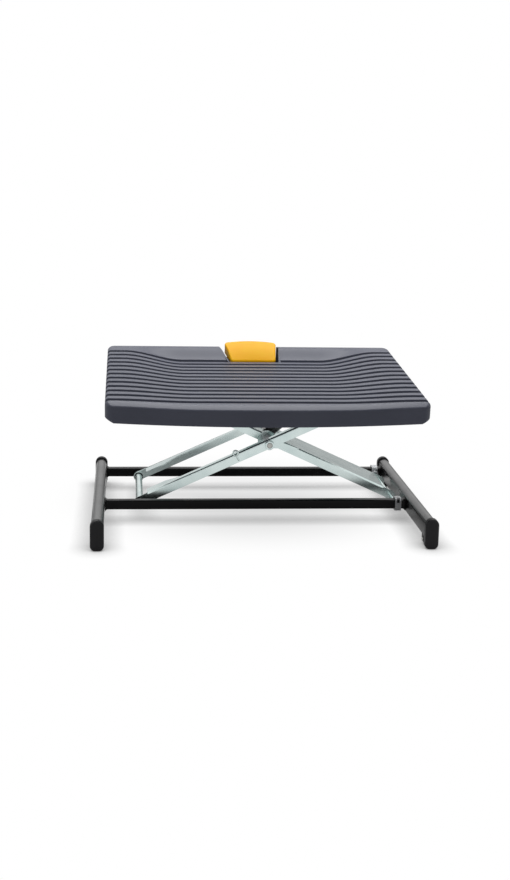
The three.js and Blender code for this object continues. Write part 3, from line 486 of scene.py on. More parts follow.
# %% [markdown]
# ### The other plastics
#
# The end caps are black polyethylene, waxy and slightly rough. The shoes are grey nylon,
# the rollers white acetal, and the pedal is amber ABS with a smooth gloss: a saturated
# yellow that turns orange where it curves away from the light, because light enters it a
# little before it comes back.

# %% Caps, shoes, rollers and pedal
cap_plastic = moulded_grain("black_polyethylene", ("#0E0E10", "#151518"), 0.46, 0.8, 0.02, 0.22)
shoe_nylon = moulded_grain("grey_nylon", ("#C4C6C8", "#CED0D2"), 0.34, 0.7, 0.02)
roller_acetal = moulded_grain("white_acetal", ("#D2D2CE", "#DEDEDA"), 0.36, 0.8, 0.01)
pedal_abs = patterned(
    "amber_abs",
    tints=("#FFB805", "#FFC00C"),
    clouds=(25, 2, 0.5),
    grain=(0.9, 2, 0.5),
    relief=0.008,
    Roughness=0.36,
    Specular_IOR_Level=0.12,
    Subsurface_Weight=0.05,
    Subsurface_Scale=0.002,
    Subsurface_Radius=(1.0, 0.45, 0.1),
)
print("made", cap_plastic.name, shoe_nylon.name, roller_acetal.name, pedal_abs.name)

# %% [markdown]
# ## The footplate
#
# The real plate is one moulding: a shell about 4.7 mm thick with a rolled front edge, a
# skirt all round, thirteen grooves across it and a shallow hollow that deepens to the rear.
# A box with a Boolean for each groove would have sharp edges everywhere. Instead the top is
# a height over the plan: a formula gives the hollow, the roll at the front and the grooves,
# and the plan's outline is walked inward to round the edge. Inside, the same formula a
# little lower gives the underside, so the shell is closed.

# %% The plate's own frame
# The frame's zero is the middle of the whole part, and the base's middle is this far behind
SHIFT_Y = 1.8217
PLATE_ORIGIN = np.array([1.5, -191.5 + SHIFT_Y, 208.302])
PLATE_TILT = math.radians(4.455)
SLOPE = np.array([0, math.cos(PLATE_TILT), math.sin(PLATE_TILT)])
SQUARE = np.array([0, -math.sin(PLATE_TILT), math.cos(PLATE_TILT)])
PLATE_WIDTH, PLATE_DEPTH, PLATE_CORNER = 451, 344, 12
BAND_START = 306


def from_plate(u, v, w):
    """A place on the plate as a place in the room: the plate's origin plus u across, v up
    the slope and w square to it."""
    u, v, w = (np.asarray(c, float)[..., None] for c in (u, v, w))
    return PLATE_ORIGIN + u * np.array([1.0, 0, 0]) + v * SLOPE + w * SQUARE


def smooth_step(x, low, high):
    """Zero below low, one above high, and three t squared less two t cubed between."""
    t = np.clip((x - low) / (high - low), 0, 1)
    return t * t * (3 - 2 * t)


FRONT_HALF = PLATE_WIDTH / 2 - PLATE_CORNER
BOW_DEPTH = 10.9


def bow(u):
    """The front edge swells forward as a parabola, most in the middle."""
    return -BOW_DEPTH * (1 - np.minimum((u / FRONT_HALF) ** 2, 1))


def hollow(u, v):
    """The depth of the hollow: it is level across the middle, eases up to the wings, deepens
    from 2.6 mm by another 12.9 mm towards the rear and ends in the rear band. To the rear
    the middle widens and the wings start further in."""
    run = np.clip(v / BAND_START, 0, 1)
    middle_end = 101 + 8 * run
    ramp_end = 215 - 17 * run
    depth = 2.6 + 12.9 * run
    side = 1 - smooth_step(np.abs(u), middle_end, ramp_end)
    back = 1 - smooth_step(v, BAND_START, PLATE_DEPTH)
    return depth * side * back


GROOVES, GROOVE_FIRST, GROOVE_STEP = 13, 18, 24
GROOVE_DEPTH, GROOVE_FLOOR, GROOVE_MOUTH = 3.7, 4.4, 5.8


def grooves(v):
    """Grooves at even steps, each with sloping sides that run over into the rib and the
    floor in a small round. The floor and the mouth are given as half widths."""
    number = np.clip(np.round((v - GROOVE_FIRST) / GROOVE_STEP), 0, GROOVES - 1)
    away = np.abs(v - (number * GROOVE_STEP + GROOVE_FIRST))
    return GROOVE_DEPTH * (1 - smooth_step(away, GROOVE_FLOOR, GROOVE_MOUTH))


ROLL_DEPTH, ROLL_LENGTH = 5.2, 13


def plate_height(u, v):
    """The top of the shell without its grooves: the hollow, and the roll at the front, which
    falls as the power 1.3 of how near the edge is."""
    near = np.clip(1 - (v - bow(u)) / ROLL_LENGTH, 0, 1)
    return -hollow(u, v) - ROLL_DEPTH * near**1.3


# %% A moulded cap from its plan
def cap_rings(half_at, front, corner, front_bow, columns, rows, arc=7):
    """Walks a plan with round corners, whose rows end a corner short of its rear. It gives
    the grid of the inner field and, for each point of its border, the outward direction, so
    that a ring at inset d is the border plus (corner less d) times that direction. Points
    run anticlockwise from the front left."""
    v = np.array(rows)
    inner_half = half_at(v) - corner
    grid_u = np.array(columns)[None, :] * inner_half[:, None]
    grid_v = v[:, None] + np.zeros_like(grid_u)
    blend = np.clip((front + corner + 0.3 - v) / 0.3, 0, 1)
    grid_v = grid_v + blend[:, None] * front_bow(grid_u)
    edge = [
        (grid_u[0], grid_v[0], 0, -1),
        (grid_u[:, -1], grid_v[:, -1], 1, 0),
        (grid_u[-1, ::-1], grid_v[-1, ::-1], 0, 1),
        (grid_u[::-1, 0], grid_v[::-1, 0], -1, 0),
    ]
    turns = np.linspace(0, math.pi / 2, arc + 2)[1:-1]
    border, outward = [], []
    for u, w, nx, ny in edge:
        border.append(np.stack([u, w], axis=1))
        outward.append(np.tile([nx, ny], (len(u), 1)))
        base = math.atan2(ny, nx)
        border.append(np.tile([u[-1], w[-1]], (arc, 1)))
        outward.append(np.stack([np.cos(base + turns), np.sin(base + turns)], axis=1))
    return grid_u, grid_v, np.concatenate(border), np.concatenate(outward)


def moulded_shell(name, plan, corner, top, carve, bottom, thick, wall, edge, place):
    """A closed shell: the field, rings out to the edge that drop along a quarter round, a
    skirt, a round lip, the inner wall and the underside. The round's radius is the first
    value of edge at the front and rear and the second at the sides."""
    grid_u, grid_v, border, outward = plan
    rows, columns = grid_u.shape
    radius = edge[0] + (edge[1] - edge[0]) * outward[:, 0] ** 2

    def ring(inset, height):
        flat = border + (corner - np.asarray(inset)[..., None]) * outward
        return flat[:, 0], flat[:, 1], height(flat[:, 0], flat[:, 1])

    def round_drop(d):
        d = np.minimum(d, radius)
        return radius - np.sqrt(radius**2 - (radius - d) ** 2)

    stack = []
    for share in (1.0, 0.75, 0.5):
        d = radius + (corner - radius) * share
        stack.append(ring(d, lambda u, v: top(u, v) - carve(v)))
    for angle in np.radians([0, 15, 30, 45, 60, 72, 82, 90]):
        d = radius * (1 - math.sin(angle))
        stack.append(ring(d, lambda u, v, d=d: top(u, v) - carve(v) - round_drop(d)))
    lip = 0.8
    for share in (0.12, 0.3, 0.55, 0.8, 1.0):
        stack.append(
            ring(
                0,
                lambda u, v, s=share: (1 - s) * (top(u, v) - carve(v) - radius)
                + s * (bottom(u, v) + lip),
            )
        )
    for d, rise in ((0.23, 0.23), (lip, 0), (wall - lip, 0), (wall - 0.23, 0.23), (wall, lip)):
        stack.append(ring(d, lambda u, v, r=rise: bottom(u, v) + r))
    fillet = min(3.0, 0.5 * (corner - wall))
    for d, fall in ((0, 1), (0.08, 0.6), (0.3, 0.3), (0.6, 0.08), (1, 0)):
        inset = wall + d * fillet
        stack.append(ring(inset, lambda u, v, f=fall: top(u, v) - thick - f * fillet))
    stack.append(ring(corner, lambda u, v: top(u, v) - thick))
    rings = [place(*ring_points) for ring_points in stack]
    upper = place(grid_u, grid_v, top(grid_u, grid_v) - carve(grid_v)).reshape(-1, 3)
    lower = place(grid_u, grid_v, top(grid_u, grid_v) - thick).reshape(-1, 3)
    around = len(border)
    faces = ring_faces(len(rings), around)
    offset = len(rings) * around
    cells = (np.arange(rows - 1)[:, None] * columns + np.arange(columns - 1)[None, :]).ravel()
    quad = np.stack([cells, cells + 1, cells + columns + 1, cells + columns], axis=1)
    faces += (quad + offset).tolist()
    faces += (quad[:, ::-1] + offset + rows * columns).tolist()
    points = np.concatenate([np.concatenate(rings), upper, lower])
    return as_object(name, points, faces, 40)


# %% [markdown]
# The grooves need rows where their sides bend and few between, and the ramps of the hollow
# need columns where they curve. The notch for the pedal is cut afterwards: its plan has four
# corners and its depth one step, and an exact Boolean on the finished shell leaves clean
# walls.

# %% Rows and columns of the plate
bends = (GROOVE_MOUTH, 5.5, 5.25, 4.95, 4.7, GROOVE_FLOOR, 1.4)
row_steps = [12, 12.05, 12.1, 12.15]
for k in range(GROOVES):
    middle = GROOVE_FIRST + GROOVE_STEP * k
    row_steps += [middle - d for d in bends] + [middle + d for d in bends[::-1]]
    row_steps += [middle + d for d in (8, 12, 16)] if k < GROOVES - 1 else []
row_steps += list(np.linspace(313, PLATE_DEPTH - PLATE_CORNER, 8))
side_columns = np.concatenate([np.linspace(0, 98, 12), np.linspace(102, 207, 30)]) / FRONT_HALF
plan = cap_rings(
    half_at=lambda v: np.full_like(v, PLATE_WIDTH / 2),
    front=0,
    corner=PLATE_CORNER,
    front_bow=bow,
    columns=[-1.0, *-side_columns[::-1], *side_columns[1:], 1.0],
    rows=row_steps,
)
print("rows", len(row_steps), "columns", plan[0].shape[1])


# %% The plate's shell
def skirt_bottom(u, v):
    """The skirt hangs 29 mm down, and 2.5 mm more in the middle of the front and rear. Over
    the corners it rises by 6 mm, so the sides are shallower."""
    near = np.clip(1 - (PLATE_WIDTH / 2 - np.abs(u)) / PLATE_CORNER, 0, 1)
    return 6 * near - 29 - 2.5 * (1 - np.minimum((2 * u / PLATE_WIDTH) ** 2, 1))


footplate = moulded_shell(
    "footplate_moulding",
    plan,
    corner=PLATE_CORNER,
    top=plate_height,
    carve=grooves,
    bottom=skirt_bottom,
    thick=4.7,
    wall=3.2,
    edge=(1.8, 5.5),
    place=from_plate,
)
print("footplate", len(footplate.data.polygons), "faces")


# %% Cut the notch
NOTCH_END = 340.5


def prism(name, outline, low, high):
    """An outline on the plate's plan, carried square to the plate between two heights."""
    u, v = np.array(outline, float).T
    return from_rings(name, [from_plate(u, v, np.full(len(u), w)) for w in (low, high)])


def notch_outline(front, rear, out=0.0):
    """The notch's left wall slants by 16.6 mm and its right wall by 2 mm over the band. The
    outline runs between two rows, let out at the sides."""
    ends = [(v - BAND_START) / (PLATE_DEPTH - BAND_START) for v in (front, rear)]
    left = [-32.4 - 16.6 * share - out for share in ends]
    right = [44.5 + 2.0 * share + out for share in ends]
    return [(left[0], front), (right[0], front), (right[1], rear), (left[1], rear)]


cut_by(footplate, prism("notch_tool", notch_outline(BAND_START, NOTCH_END), -60, 9))
# The rear wall is cut down behind it, all but a strip at the right
gate = notch_outline(326, 350)
gate[1:3] = [(43.6, 326), (43.6, 350)]
cut_by(footplate, prism("gate_tool", gate, -17, 9))
footplate.data.shade_smooth()
footplate.data.set_sharp_from_angle(angle=math.radians(40))
dress(footplate, "carriage", plate_abs, ["footplate"])
print("footplate cut", len(footplate.data.polygons), "faces")

# %% [markdown]
# Round the notch a wall 3 mm thick hangs from the shell, so that the pedal moves in a
# well. It is three straight walls, joined at their corners.


# %% The notch's wall
def upright_wall(name, path, thick, low, sink):
    """A path on the plan, carried up from a height to the plate's top less the sink. Each
    point is moved to both sides by half the thickness, along the mean of the directions
    square to its neighbours."""
    line = np.array(path, float)
    step = np.diff(line, axis=0)
    step /= np.linalg.norm(step, axis=1)[:, None]
    side = np.stack([-step[:, 1], step[:, 0]], axis=1)
    mean = np.concatenate([side[:1], (side[:-1] + side[1:]) / 2, side[-1:]])
    mean /= (np.linalg.norm(mean, axis=1) ** 2)[:, None]
    rings = []
    for left, right in zip(line + mean * thick / 2, line - mean * thick / 2):
        u, v = np.array([left, right, right, left]).T
        upper = plate_height(u, v) - sink
        rings.append(from_plate(u, v, [low, low, upper[2], upper[3]]))
    piece = from_rings(name, rings)
    bevel = piece.modifiers.new("eased edges", "BEVEL")
    bevel.width = 0.3 * MM
    bevel.segments = 2
    bevel.limit_method = "ANGLE"
    return piece


well_corners = notch_outline(BAND_START - 1.5, NOTCH_END, 1.5)
well = upright_wall("notch_wall", [well_corners[3], *well_corners[:3]], 3.0, -20, 2.1)
dress(well, "carriage", plate_abs)
print("notch wall", len(well.data.polygons), "faces")

# %% Screw bosses and the ribs that hold the release shaft
ENDS = (("front", -1), ("rear", 1))
HANDS = (("left", -1), ("right", 1))
CENTRE_Y = 63.822
RAIL_TOP = 206.45
SCREW_LINE = 56.6
SCREW_X = {"left": -150, "right": 128}
# From the top to where a boss's roof hides in the shell, and from the rail to its foot
ROOF_DEPTH, GAP = 5.4, 0.3


def top_over(x, y):
    """How high the plate's top is over places in the room, without its grooves."""
    u = np.full(len(y), x - PLATE_ORIGIN[0])
    v = (np.array(y) - PLATE_ORIGIN[1]) * math.cos(PLATE_TILT)
    return from_plate(u, v, plate_height(u, v))[:, 2]


for hand, x in SCREW_X.items():
    for end, side in ENDS:
        y = CENTRE_Y + side * SCREW_LINE
        tall = top_over(x, [y])[0] - ROOF_DEPTH - RAIL_TOP - GAP
        outline = [(0, 2.3), (0, 5.5), (0.5, 6), (tall, 6), (tall, 2.3)]
        start = (x, y, RAIL_TOP + GAP)
        boss = turned(f"screw_boss_{hand}_{end}", start, (0, 0, 1), outline, 32)
        dress(boss, "carriage", plate_abs)

SHAFT_Y, SHAFT_Z, RIB_HALF = 41.82, 198, 2
RIB_FRONT, RIB_REAR, RIB_SINK = 33.8, 49.8, 3.9
turn = np.linspace(0, math.pi, 13)
for n, x in enumerate((-19, 72)):
    rear_top, front_top = top_over(x, [RIB_REAR, RIB_FRONT]) - RIB_SINK
    y = [*(SHAFT_Y - 8 * np.cos(turn)), RIB_REAR, RIB_FRONT]
    z = [*(SHAFT_Z - 1 - 6 * np.sin(turn)), rear_top, front_top]
    rib = from_rings(f"shaft_rib_{n}", [ring_at(x + d, y, z) for d in (-RIB_HALF, RIB_HALF)])
    dress(rib, "carriage", plate_abs)
print("bosses 4, ribs 2")

# %% [markdown]
# ## The pedal
#
# A thin amber cap, narrower at the front, that arches up to the rear. It is made by the
# same walk round a plan as the plate, with its own heights: it rises towards the rear and
# its crown is a parabola across.


# %% The pedal's surface
PEDAL_FRONT, PEDAL_REAR, PEDAL_CORNER = 307.5, 345, 4.5


def pedal_run(v):
    """How far back a place is on the pedal, from zero to one."""
    return np.clip((np.asarray(v, float) - PEDAL_FRONT) / (PEDAL_REAR - PEDAL_FRONT), 0, 1)


def pedal_half(v):
    """The pedal is 35 mm to each side at the front and 6.7 mm more at the rear."""
    return 35 + 6.7 * pedal_run(v)


def pedal_place(u, v, w):
    """Its middle lies 4.6 mm to the right at the front and 1.1 mm at the rear."""
    return from_plate(u + 4.6 - 3.5 * pedal_run(v), v, w)


def pedal_top(u, v):
    """It starts 15 mm down, rises by 21.5 mm to the rear, swells by 2.4 mm on the way, and
    has a crown across of up to 3 mm."""
    run = pedal_run(v)
    x = np.clip(u / pedal_half(v), -1, 1)
    return -15 + 21.5 * run + 2.4 * np.sin(math.pi * run) + 3 * (1 - x * x) * run


def pedal_bottom(u, v):
    """Its sides hang 5.5 mm down at the front and 16 mm at the rear."""
    run = pedal_run(v)
    return -15 + 21.5 * run - (5.5 + 10.5 * run)


pedal_plan = cap_rings(
    half_at=pedal_half,
    front=PEDAL_FRONT,
    corner=PEDAL_CORNER,
    front_bow=np.zeros_like,
    columns=np.linspace(-1, 1, 33),
    rows=np.linspace(PEDAL_FRONT + PEDAL_CORNER, PEDAL_REAR - PEDAL_CORNER, 18),
)
pedal = moulded_shell(
    "pedal_cap",
    pedal_plan,
    corner=PEDAL_CORNER,
    top=pedal_top,
    carve=np.zeros_like,
    bottom=pedal_bottom,
    thick=2.5,
    wall=2.5,
    edge=(1.9, 1.9),
    place=pedal_place,
)
dress(pedal, "pedal", pedal_abs, ["pedal"])
print("pedal", len(pedal.data.polygons), "faces")

# %% [markdown]
# ## Tubes and caps
#
# The side tubes are oval steel tube. The cross tubes are square with rounded corners, and
# each ends in a weld that spreads over the side tube. A sweep of the section along the
# tube's axis is the natural way, because the real ones were rolled along that axis too.


# %% Sections and sweeps
def oval_section(width, height, count=64):
    """A tall slot shape: two half rounds joined by straight sides, as points round it."""
    turn = np.linspace(0, 2 * math.pi, count, endpoint=False)
    straight = (height - width) / 2
    z = np.sin(turn) * width / 2
    return np.cos(turn) * width / 2, z + np.where(z >= 0, straight, -straight)


def square_section(size, corner, count=12):
    """A square with round corners."""
    turn = np.linspace(0, math.pi / 2, count)
    inner = size / 2 - corner
    x, y = [], []
    for base, sx, sy in ((0, 1, 1), (1, -1, 1), (2, -1, -1), (3, 1, -1)):
        x.append(sx * inner + corner * np.cos(turn + base * math.pi / 2))
        y.append(sy * inner + corner * np.sin(turn + base * math.pi / 2))
    return np.concatenate(x), np.concatenate(y)


# %% Side tubes
TUBE_X, TUBE_Z, TUBE_END = 235, 26, 194.7
TUBE_WIDTH, TUBE_HEIGHT, TUBE_WALL = 17, 31, 1.5
# Each station is a place along the tube and the share of the section there: the cut ends
# are drawn in a little, over their last 0.3 mm
full = TUBE_END - 0.3
stations = [(-TUBE_END, 0.98), (-full, 1), (-60, 1), (60, 1), (full, 1), (TUBE_END, 0.98)]
for hand, sign in HANDS:
    rings = []
    x, z = oval_section(TUBE_WIDTH, TUBE_HEIGHT)
    for y, share in stations:
        rings.append(ring_at(sign * TUBE_X + x * share, y + SHIFT_Y, TUBE_Z + z * share))
    x, z = oval_section(TUBE_WIDTH - 2 * TUBE_WALL, TUBE_HEIGHT - 2 * TUBE_WALL)
    for y in (TUBE_END, -TUBE_END):
        rings.append(ring_at(sign * TUBE_X + x, y + SHIFT_Y, TUBE_Z + z))
    tube = from_rings(f"{hand}_oval_tube", rings, True, 40)
    dress(tube, "base", black_paint, [f"{hand}_side_tube"])
print("side tubes 2")


# %% Cross tubes with their welds
WELD_REACH = 4
CROSS_SIZE, CROSS_CORNER, CROSS_Z = 14, 2.5, 25.5
CROSS_Y = {"front": -37.68, "rear": 165.32}


def weld_spread(away, turn):
    """How far the weld stands out: it falls as a square over its reach, with the ripples
    that a weld pool leaves every few millimetres."""
    share = np.clip(1 - away / WELD_REACH, 0, 1)
    return 3.0 * share**2 * (1 + 0.09 * np.sin(16 * turn)) + 0.25 * share


half = TUBE_X - TUBE_WIDTH / 2 - GAP
away = np.array([0, 0.4, 0.9, 1.5, 2.2, 3.0, WELD_REACH, 12])
for end, middle in CROSS_Y.items():
    y, z = square_section(CROSS_SIZE, CROSS_CORNER)
    rings = []
    for x in np.concatenate([-half + away, half - away[::-1]]):
        grow = 1 + weld_spread(half - abs(x), np.arctan2(z, y)) / np.hypot(y, z)
        rings.append(ring_at(x, middle + y * grow, CROSS_Z + z * grow))
    y, z = square_section(CROSS_SIZE - 2 * TUBE_WALL, CROSS_CORNER - TUBE_WALL)
    rings += [ring_at(x, middle + y, CROSS_Z + z) for x in (half, -half)]
    tube = from_rings(f"{end}_square_tube", rings, True, 40)
    dress(tube, "base", thin_black_paint, [f"{end}_cross_tube"])
print("cross tubes 2")

# %% [markdown]
# The end caps are moulded: a domed face with a round edge, a rim that grips the tube and a
# foot that runs back under it with a screw. Each cap is a stack of rings of one outline,
# shrunk towards the face, and the foot is a cradle swept along the tube.


# %% End caps
CAP_HALF, CAP_TOP, CAP_CORNER, CAP_EDGE = 9.75, 44, 7, 3.5
CAP_FACE, CAP_DEPTH, FACE_THICK = 198, 12, 3.2
POCKET, POCKET_LOW, POCKET_HIGH = 8.8, 19, 33


def arch_outline(low_x, low_z, low_radius, high_z, high_radius, count=24):
    """Two round corners below, one to each side, and a half round above."""
    low = np.linspace(math.pi, 1.5 * math.pi, count)
    high = np.linspace(0, math.pi, 2 * count)
    across, down = low_radius * np.cos(low) - low_x, low_z + low_radius * np.sin(low)
    x = np.concatenate([across, -across[::-1], high_radius * np.cos(high)])
    return x, np.concatenate([down, down[::-1], high_z + high_radius * np.sin(high)])


def at_tube_end(rings, sign, facing):
    """Rings of x from the tube's middle, y from the cap's face into the tube, and z."""
    middle, face = sign * TUBE_X, SHIFT_Y - facing * CAP_FACE
    return [ring_at(middle + x, face + facing * y, z) for x, y, z in rings]


def end_cap(name, sign, facing):
    """Rings run from the middle of the face over the edge, along the rim and back down the
    pocket. Each is given by its inset and its y. Past the inset of 6.9 mm, where the corners'
    radius is used up, the outline is scaled instead."""
    turn = np.radians(range(0, 91, 15))
    levels = [(9.7, 0), (7, 0.1), (5, 0.25)]
    levels += [(CAP_EDGE * (1 - math.sin(a)), CAP_EDGE * (1 - math.cos(a)) + 0.4) for a in turn]
    levels += [(0, 8), (0, CAP_DEPTH - 0.7), (0.2, CAP_DEPTH - 0.2), (0.5, CAP_DEPTH)]
    rings = []
    for inset, y in levels:
        walked = min(inset, 6.9)
        low = (CAP_HALF - CAP_CORNER, CAP_CORNER, CAP_CORNER - walked)
        x, z = arch_outline(*low, CAP_TOP - CAP_HALF, CAP_HALF - walked)
        if inset > walked:
            x = x * (CAP_HALF - inset) / (CAP_HALF - walked)
            z = CAP_TOP / 2 + (z - CAP_TOP / 2) * (1 - (inset - walked) / 6)
        rings.append((x, y, z))
    x, z = arch_outline(0, POCKET_LOW, POCKET, POCKET_HIGH, POCKET)
    rings += [(x, CAP_DEPTH, z), (x, FACE_THICK, z)]
    return from_rings(name, at_tube_end(rings, sign, facing), False, 45)


def cradle(name, sign, facing):
    """The foot: a section with round lower corners and a hollow top that follows the tube,
    swept from inside the rim to 38 mm, and drawn in at its end."""
    half, corner, hug_radius = 7.5, 6.5, 8.7
    low = np.linspace(math.pi, 1.5 * math.pi, 12)
    reach = math.asin(half / hug_radius)
    hug = np.linspace(reach, -reach, 17)
    across, down = corner * np.cos(low) - (half - corner), corner + corner * np.sin(low)
    x = np.concatenate([across, -across[::-1], hug_radius * np.sin(hug)])
    z = np.concatenate([down, down[::-1], POCKET_LOW - hug_radius * np.cos(hug)])
    rings = []
    for y, shrink in ((4, 0), (36.2, 0), (37.1, 0.25), (37.75, 0.8), (38, 1.6)):
        rings.append((x * (1 - shrink / half), y, np.where(z < 7, z + shrink * 0.6, z)))
    return from_rings(name, at_tube_end(rings, sign, facing), False, 40)


for hand, sign in HANDS:
    for end, side in ENDS:
        cap = end_cap(f"{hand}_{end}_cap_face", sign, -side)
        dress(cap, "base", cap_plastic, [f"{hand}_{end}_end_cap"])
        foot = cradle(f"{hand}_{end}_cap_foot", sign, -side)
        dress(foot, "base", cap_plastic)
print("caps 4,", len(cap.data.polygons), "faces each")

# %% [markdown]
# ## Steel work
#
# The arms, the inner frame, the rails and the bracket are folded from zinc plated sheet.
# They keep the engineering model's shapes. Its two frames cross at one axle, so a place on
# either is given by how far it lies along the frame from that axle.

# %% Places on the scissor
CROSSING = np.array([20.159, CENTRE_Y, 111.301])
REST = math.radians(24.4)
ALONG, LIFT = math.cos(REST), math.sin(REST)
FIXED_X, FREE_X, LOWER_Z, UPPER_Z = -174.5, 214.817, 23, 199.602
PIVOT = (FIXED_X, CENTRE_Y, LOWER_Z)
UPPER_LEFT = (FIXED_X, CENTRE_Y, UPPER_Z)
UPPER_RIGHT = (FREE_X, CENTRE_Y, UPPER_Z)
LOWER_RIGHT = (FREE_X, CENTRE_Y, LOWER_Z)


def on_outer(s, y, w):
    """Along the outer arm, which rises to the right, then to the rear, then square to it."""
    return CROSSING + np.array([s * ALONG - w * LIFT, y, s * LIFT + w * ALONG])


def on_inner(s, y, w):
    """Along the inner frame, which falls to the right, then to the rear, then square to it."""
    return CROSSING + np.array([s * ALONG + w * LIFT, y, w * ALONG - s * LIFT])


print("arms slope", round(math.degrees(REST), 1), "degrees at rest")

# %% Folds and sheet steel
ARM_Y, INNER_Y, RAIL_Y = 79.5, 47, 47.6
ARM_TOP, INNER_TOP, RAIL_HALF = 8, 8.2, 6.85
FOLD_REACH, WINDOW_HALF = 197.75, 12.2
ARM_FOLD, RAIL_FOLD = 2.6, 2.0
RAIL_LEFT, RAIL_RIGHT = -187, 223.5
folds = {"inner_frame": []}
for end, side in ENDS:
    outward = (0, side, 0)
    edge = [on_outer(s, side * ARM_Y, ARM_TOP) for s in (-FOLD_REACH, FOLD_REACH)]
    folds[f"{end}_outer_arm"] = [fold_tool(*edge, outward, (-LIFT, 0, ALONG), ARM_FOLD)]
    for ends in ((-FOLD_REACH, -WINDOW_HALF), (WINDOW_HALF, FOLD_REACH)):
        edge = [on_inner(s, side * INNER_Y, INNER_TOP) for s in ends]
        folds["inner_frame"].append(fold_tool(*edge, outward, (LIFT, 0, ALONG), ARM_FOLD))
    folds[f"{end}_rail"] = []
    for up in (-1, 1):
        y, z = CENTRE_Y + side * RAIL_Y, UPPER_Z + up * RAIL_HALF
        edge = ((RAIL_LEFT, y, z), (RAIL_RIGHT, y, z))
        folds[f"{end}_rail"].append(fold_tool(*edge, (0, -side, 0), (0, 0, up), RAIL_FOLD))
SHEET = {
    "front_outer_arm": "outer_frame",
    "rear_outer_arm": "outer_frame",
    "inner_frame": "inner_frame",
    "front_rail": "carriage",
    "rear_rail": "carriage",
    "spring_bracket": "carriage",
    "pedal_lever": "pedal",
    "release_finger": "pedal",
    "spring_head": "gas_rod",
}
for node, body in SHEET.items():
    piece = merged_copy(f"{node}_steel", node)
    for tool in folds.get(node, []):
        cut_by(piece, tool)
    dress(ease(piece, 0.3, 2), body, zinc_sheet, [node])
for end in ("front", "rear"):
    shoe = ease(merged_copy(f"{end}_shoe_nylon", f"{end}_slide_shoe"), 0.5, 3)
    dress(shoe, "lower_slide", shoe_nylon, [f"{end}_slide_shoe"])
print("sheet steel", len(SHEET), "pieces with", sum(len(tools) for tools in folds.values()), "folds")

# %% [markdown]
# ## Round parts
#
# The engineering model's round parts have sixteen or twenty sides. They are turned again
# with forty-eight, and with eased corners, in the same places.

# %% A turned part in its place
def both_ways(right_half):
    """The outline's right half, and its mirror image before it."""
    return [(-a, r) for a, r in right_half[::-1]] + right_half


def turned_part(node, body, finish, centre, outline, direction=(0, 1, 0), ease_by=0.3, sides=48):
    """The node, turned again: its outline's corners eased, its axis along the direction."""
    slot, material = finish
    piece = turned(f"{node}_turned", centre, direction, eased_outline(outline, ease_by), sides)
    dress(piece, body, material, [node])


ZINC = ("zinc_plate", zinc_sheet)
STEEL = ("bare_steel", bare_steel)
BLACK = ("black_plastic", cap_plastic)
WHITE = ("white_plastic", roller_acetal)
GREY = ("grey_plastic", shoe_nylon)
GLOSS = ("black_paint", black_paint)
print("finishes for round parts 6")

# %% Rods and axles
RODS = (
    ("lower_pivot_rod", "base", ZINC, PIVOT, [(94.2, 5.6), (94.2, 2.5), (96, 2.5), (96, 0)]),
    ("crossing_axle", "outer_frame", STEEL, CROSSING, [(77.2, 6), (77.2, 4), (86.6, 4), (86.6, 0)]),
    ("upper_pivot_rod", "carriage", ZINC, UPPER_LEFT, [(47.3, 5), (47.3, 3.5), (49.4, 3.5), (49.4, 0)]),
    ("slide_rod", "lower_slide", ZINC, LOWER_RIGHT, [(92.5, 3), (92.5, 0)]),
)
for node, body, finish, centre, right_half in RODS:
    turned_part(node, body, finish, centre, both_ways(right_half))
shaft = [(0, 0), (0, 4), (158.3, 4), (158.3, 0)]
turned_part("release_shaft", "pedal", STEEL, (-24.3, 41.822, 198.002), shaft, (1, 0, 0))
top_pin = both_ways([(8.7, 2.5), (8.7, 4), (10.2, 4), (10.2, 0)])
turned_part("spring_top_pin", "carriage", STEEL, (110, CENTRE_Y, 190.102), top_pin)
print("rods and axles", len(RODS) + 2)

# %% Bushes, spacers, sleeves, pins and rollers
for end, side in ENDS:
    facing = (0, side, 0)
    bush = [(77.5, 6), (77.5, 6.7), (79.8, 6.7), (79.8, 7.8), (81.4, 7.8), (81.4, 6)]
    turned_part(f"{end}_arm_bush", "outer_frame", BLACK, PIVOT, bush, facing)
    spacer = [(47.3, 6.4), (47.3, 8.4), (77.2, 8.4), (77.2, 6.4)]
    turned_part(f"{end}_axle_spacer", "outer_frame", GREY, CROSSING, spacer, facing)
    eye_sleeve = [(6.8, 6.4), (6.8, 7.4), (44.7, 7.4), (44.7, 6.4)]
    turned_part(f"{end}_eye_sleeve", "outer_frame", ZINC, CROSSING, eye_sleeve, facing)
    pin = [(49.4, 0), (49.4, 4.4), (51, 4.4), (51, 2.5)]
    pin += [(79.8, 2.5), (79.8, 4.4), (81.4, 4.0), (81.4, 0)]
    turned_part(f"{end}_roller_pin", "outer_frame", STEEL, UPPER_RIGHT, pin, facing)
    roller = [(51.3, 2.9), (51.3, 5), (63.3, 5), (63.3, 2.9)]
    turned_part(f"{end}_roller", f"{end}_roller", WHITE, UPPER_RIGHT, roller, facing, 0.6)
print("bushes, spacers, sleeves, pins and rollers 10")


# %% Nuts on the crossing axle
NUT_CORNER, NUT_SEAT = 7.2, 79.8


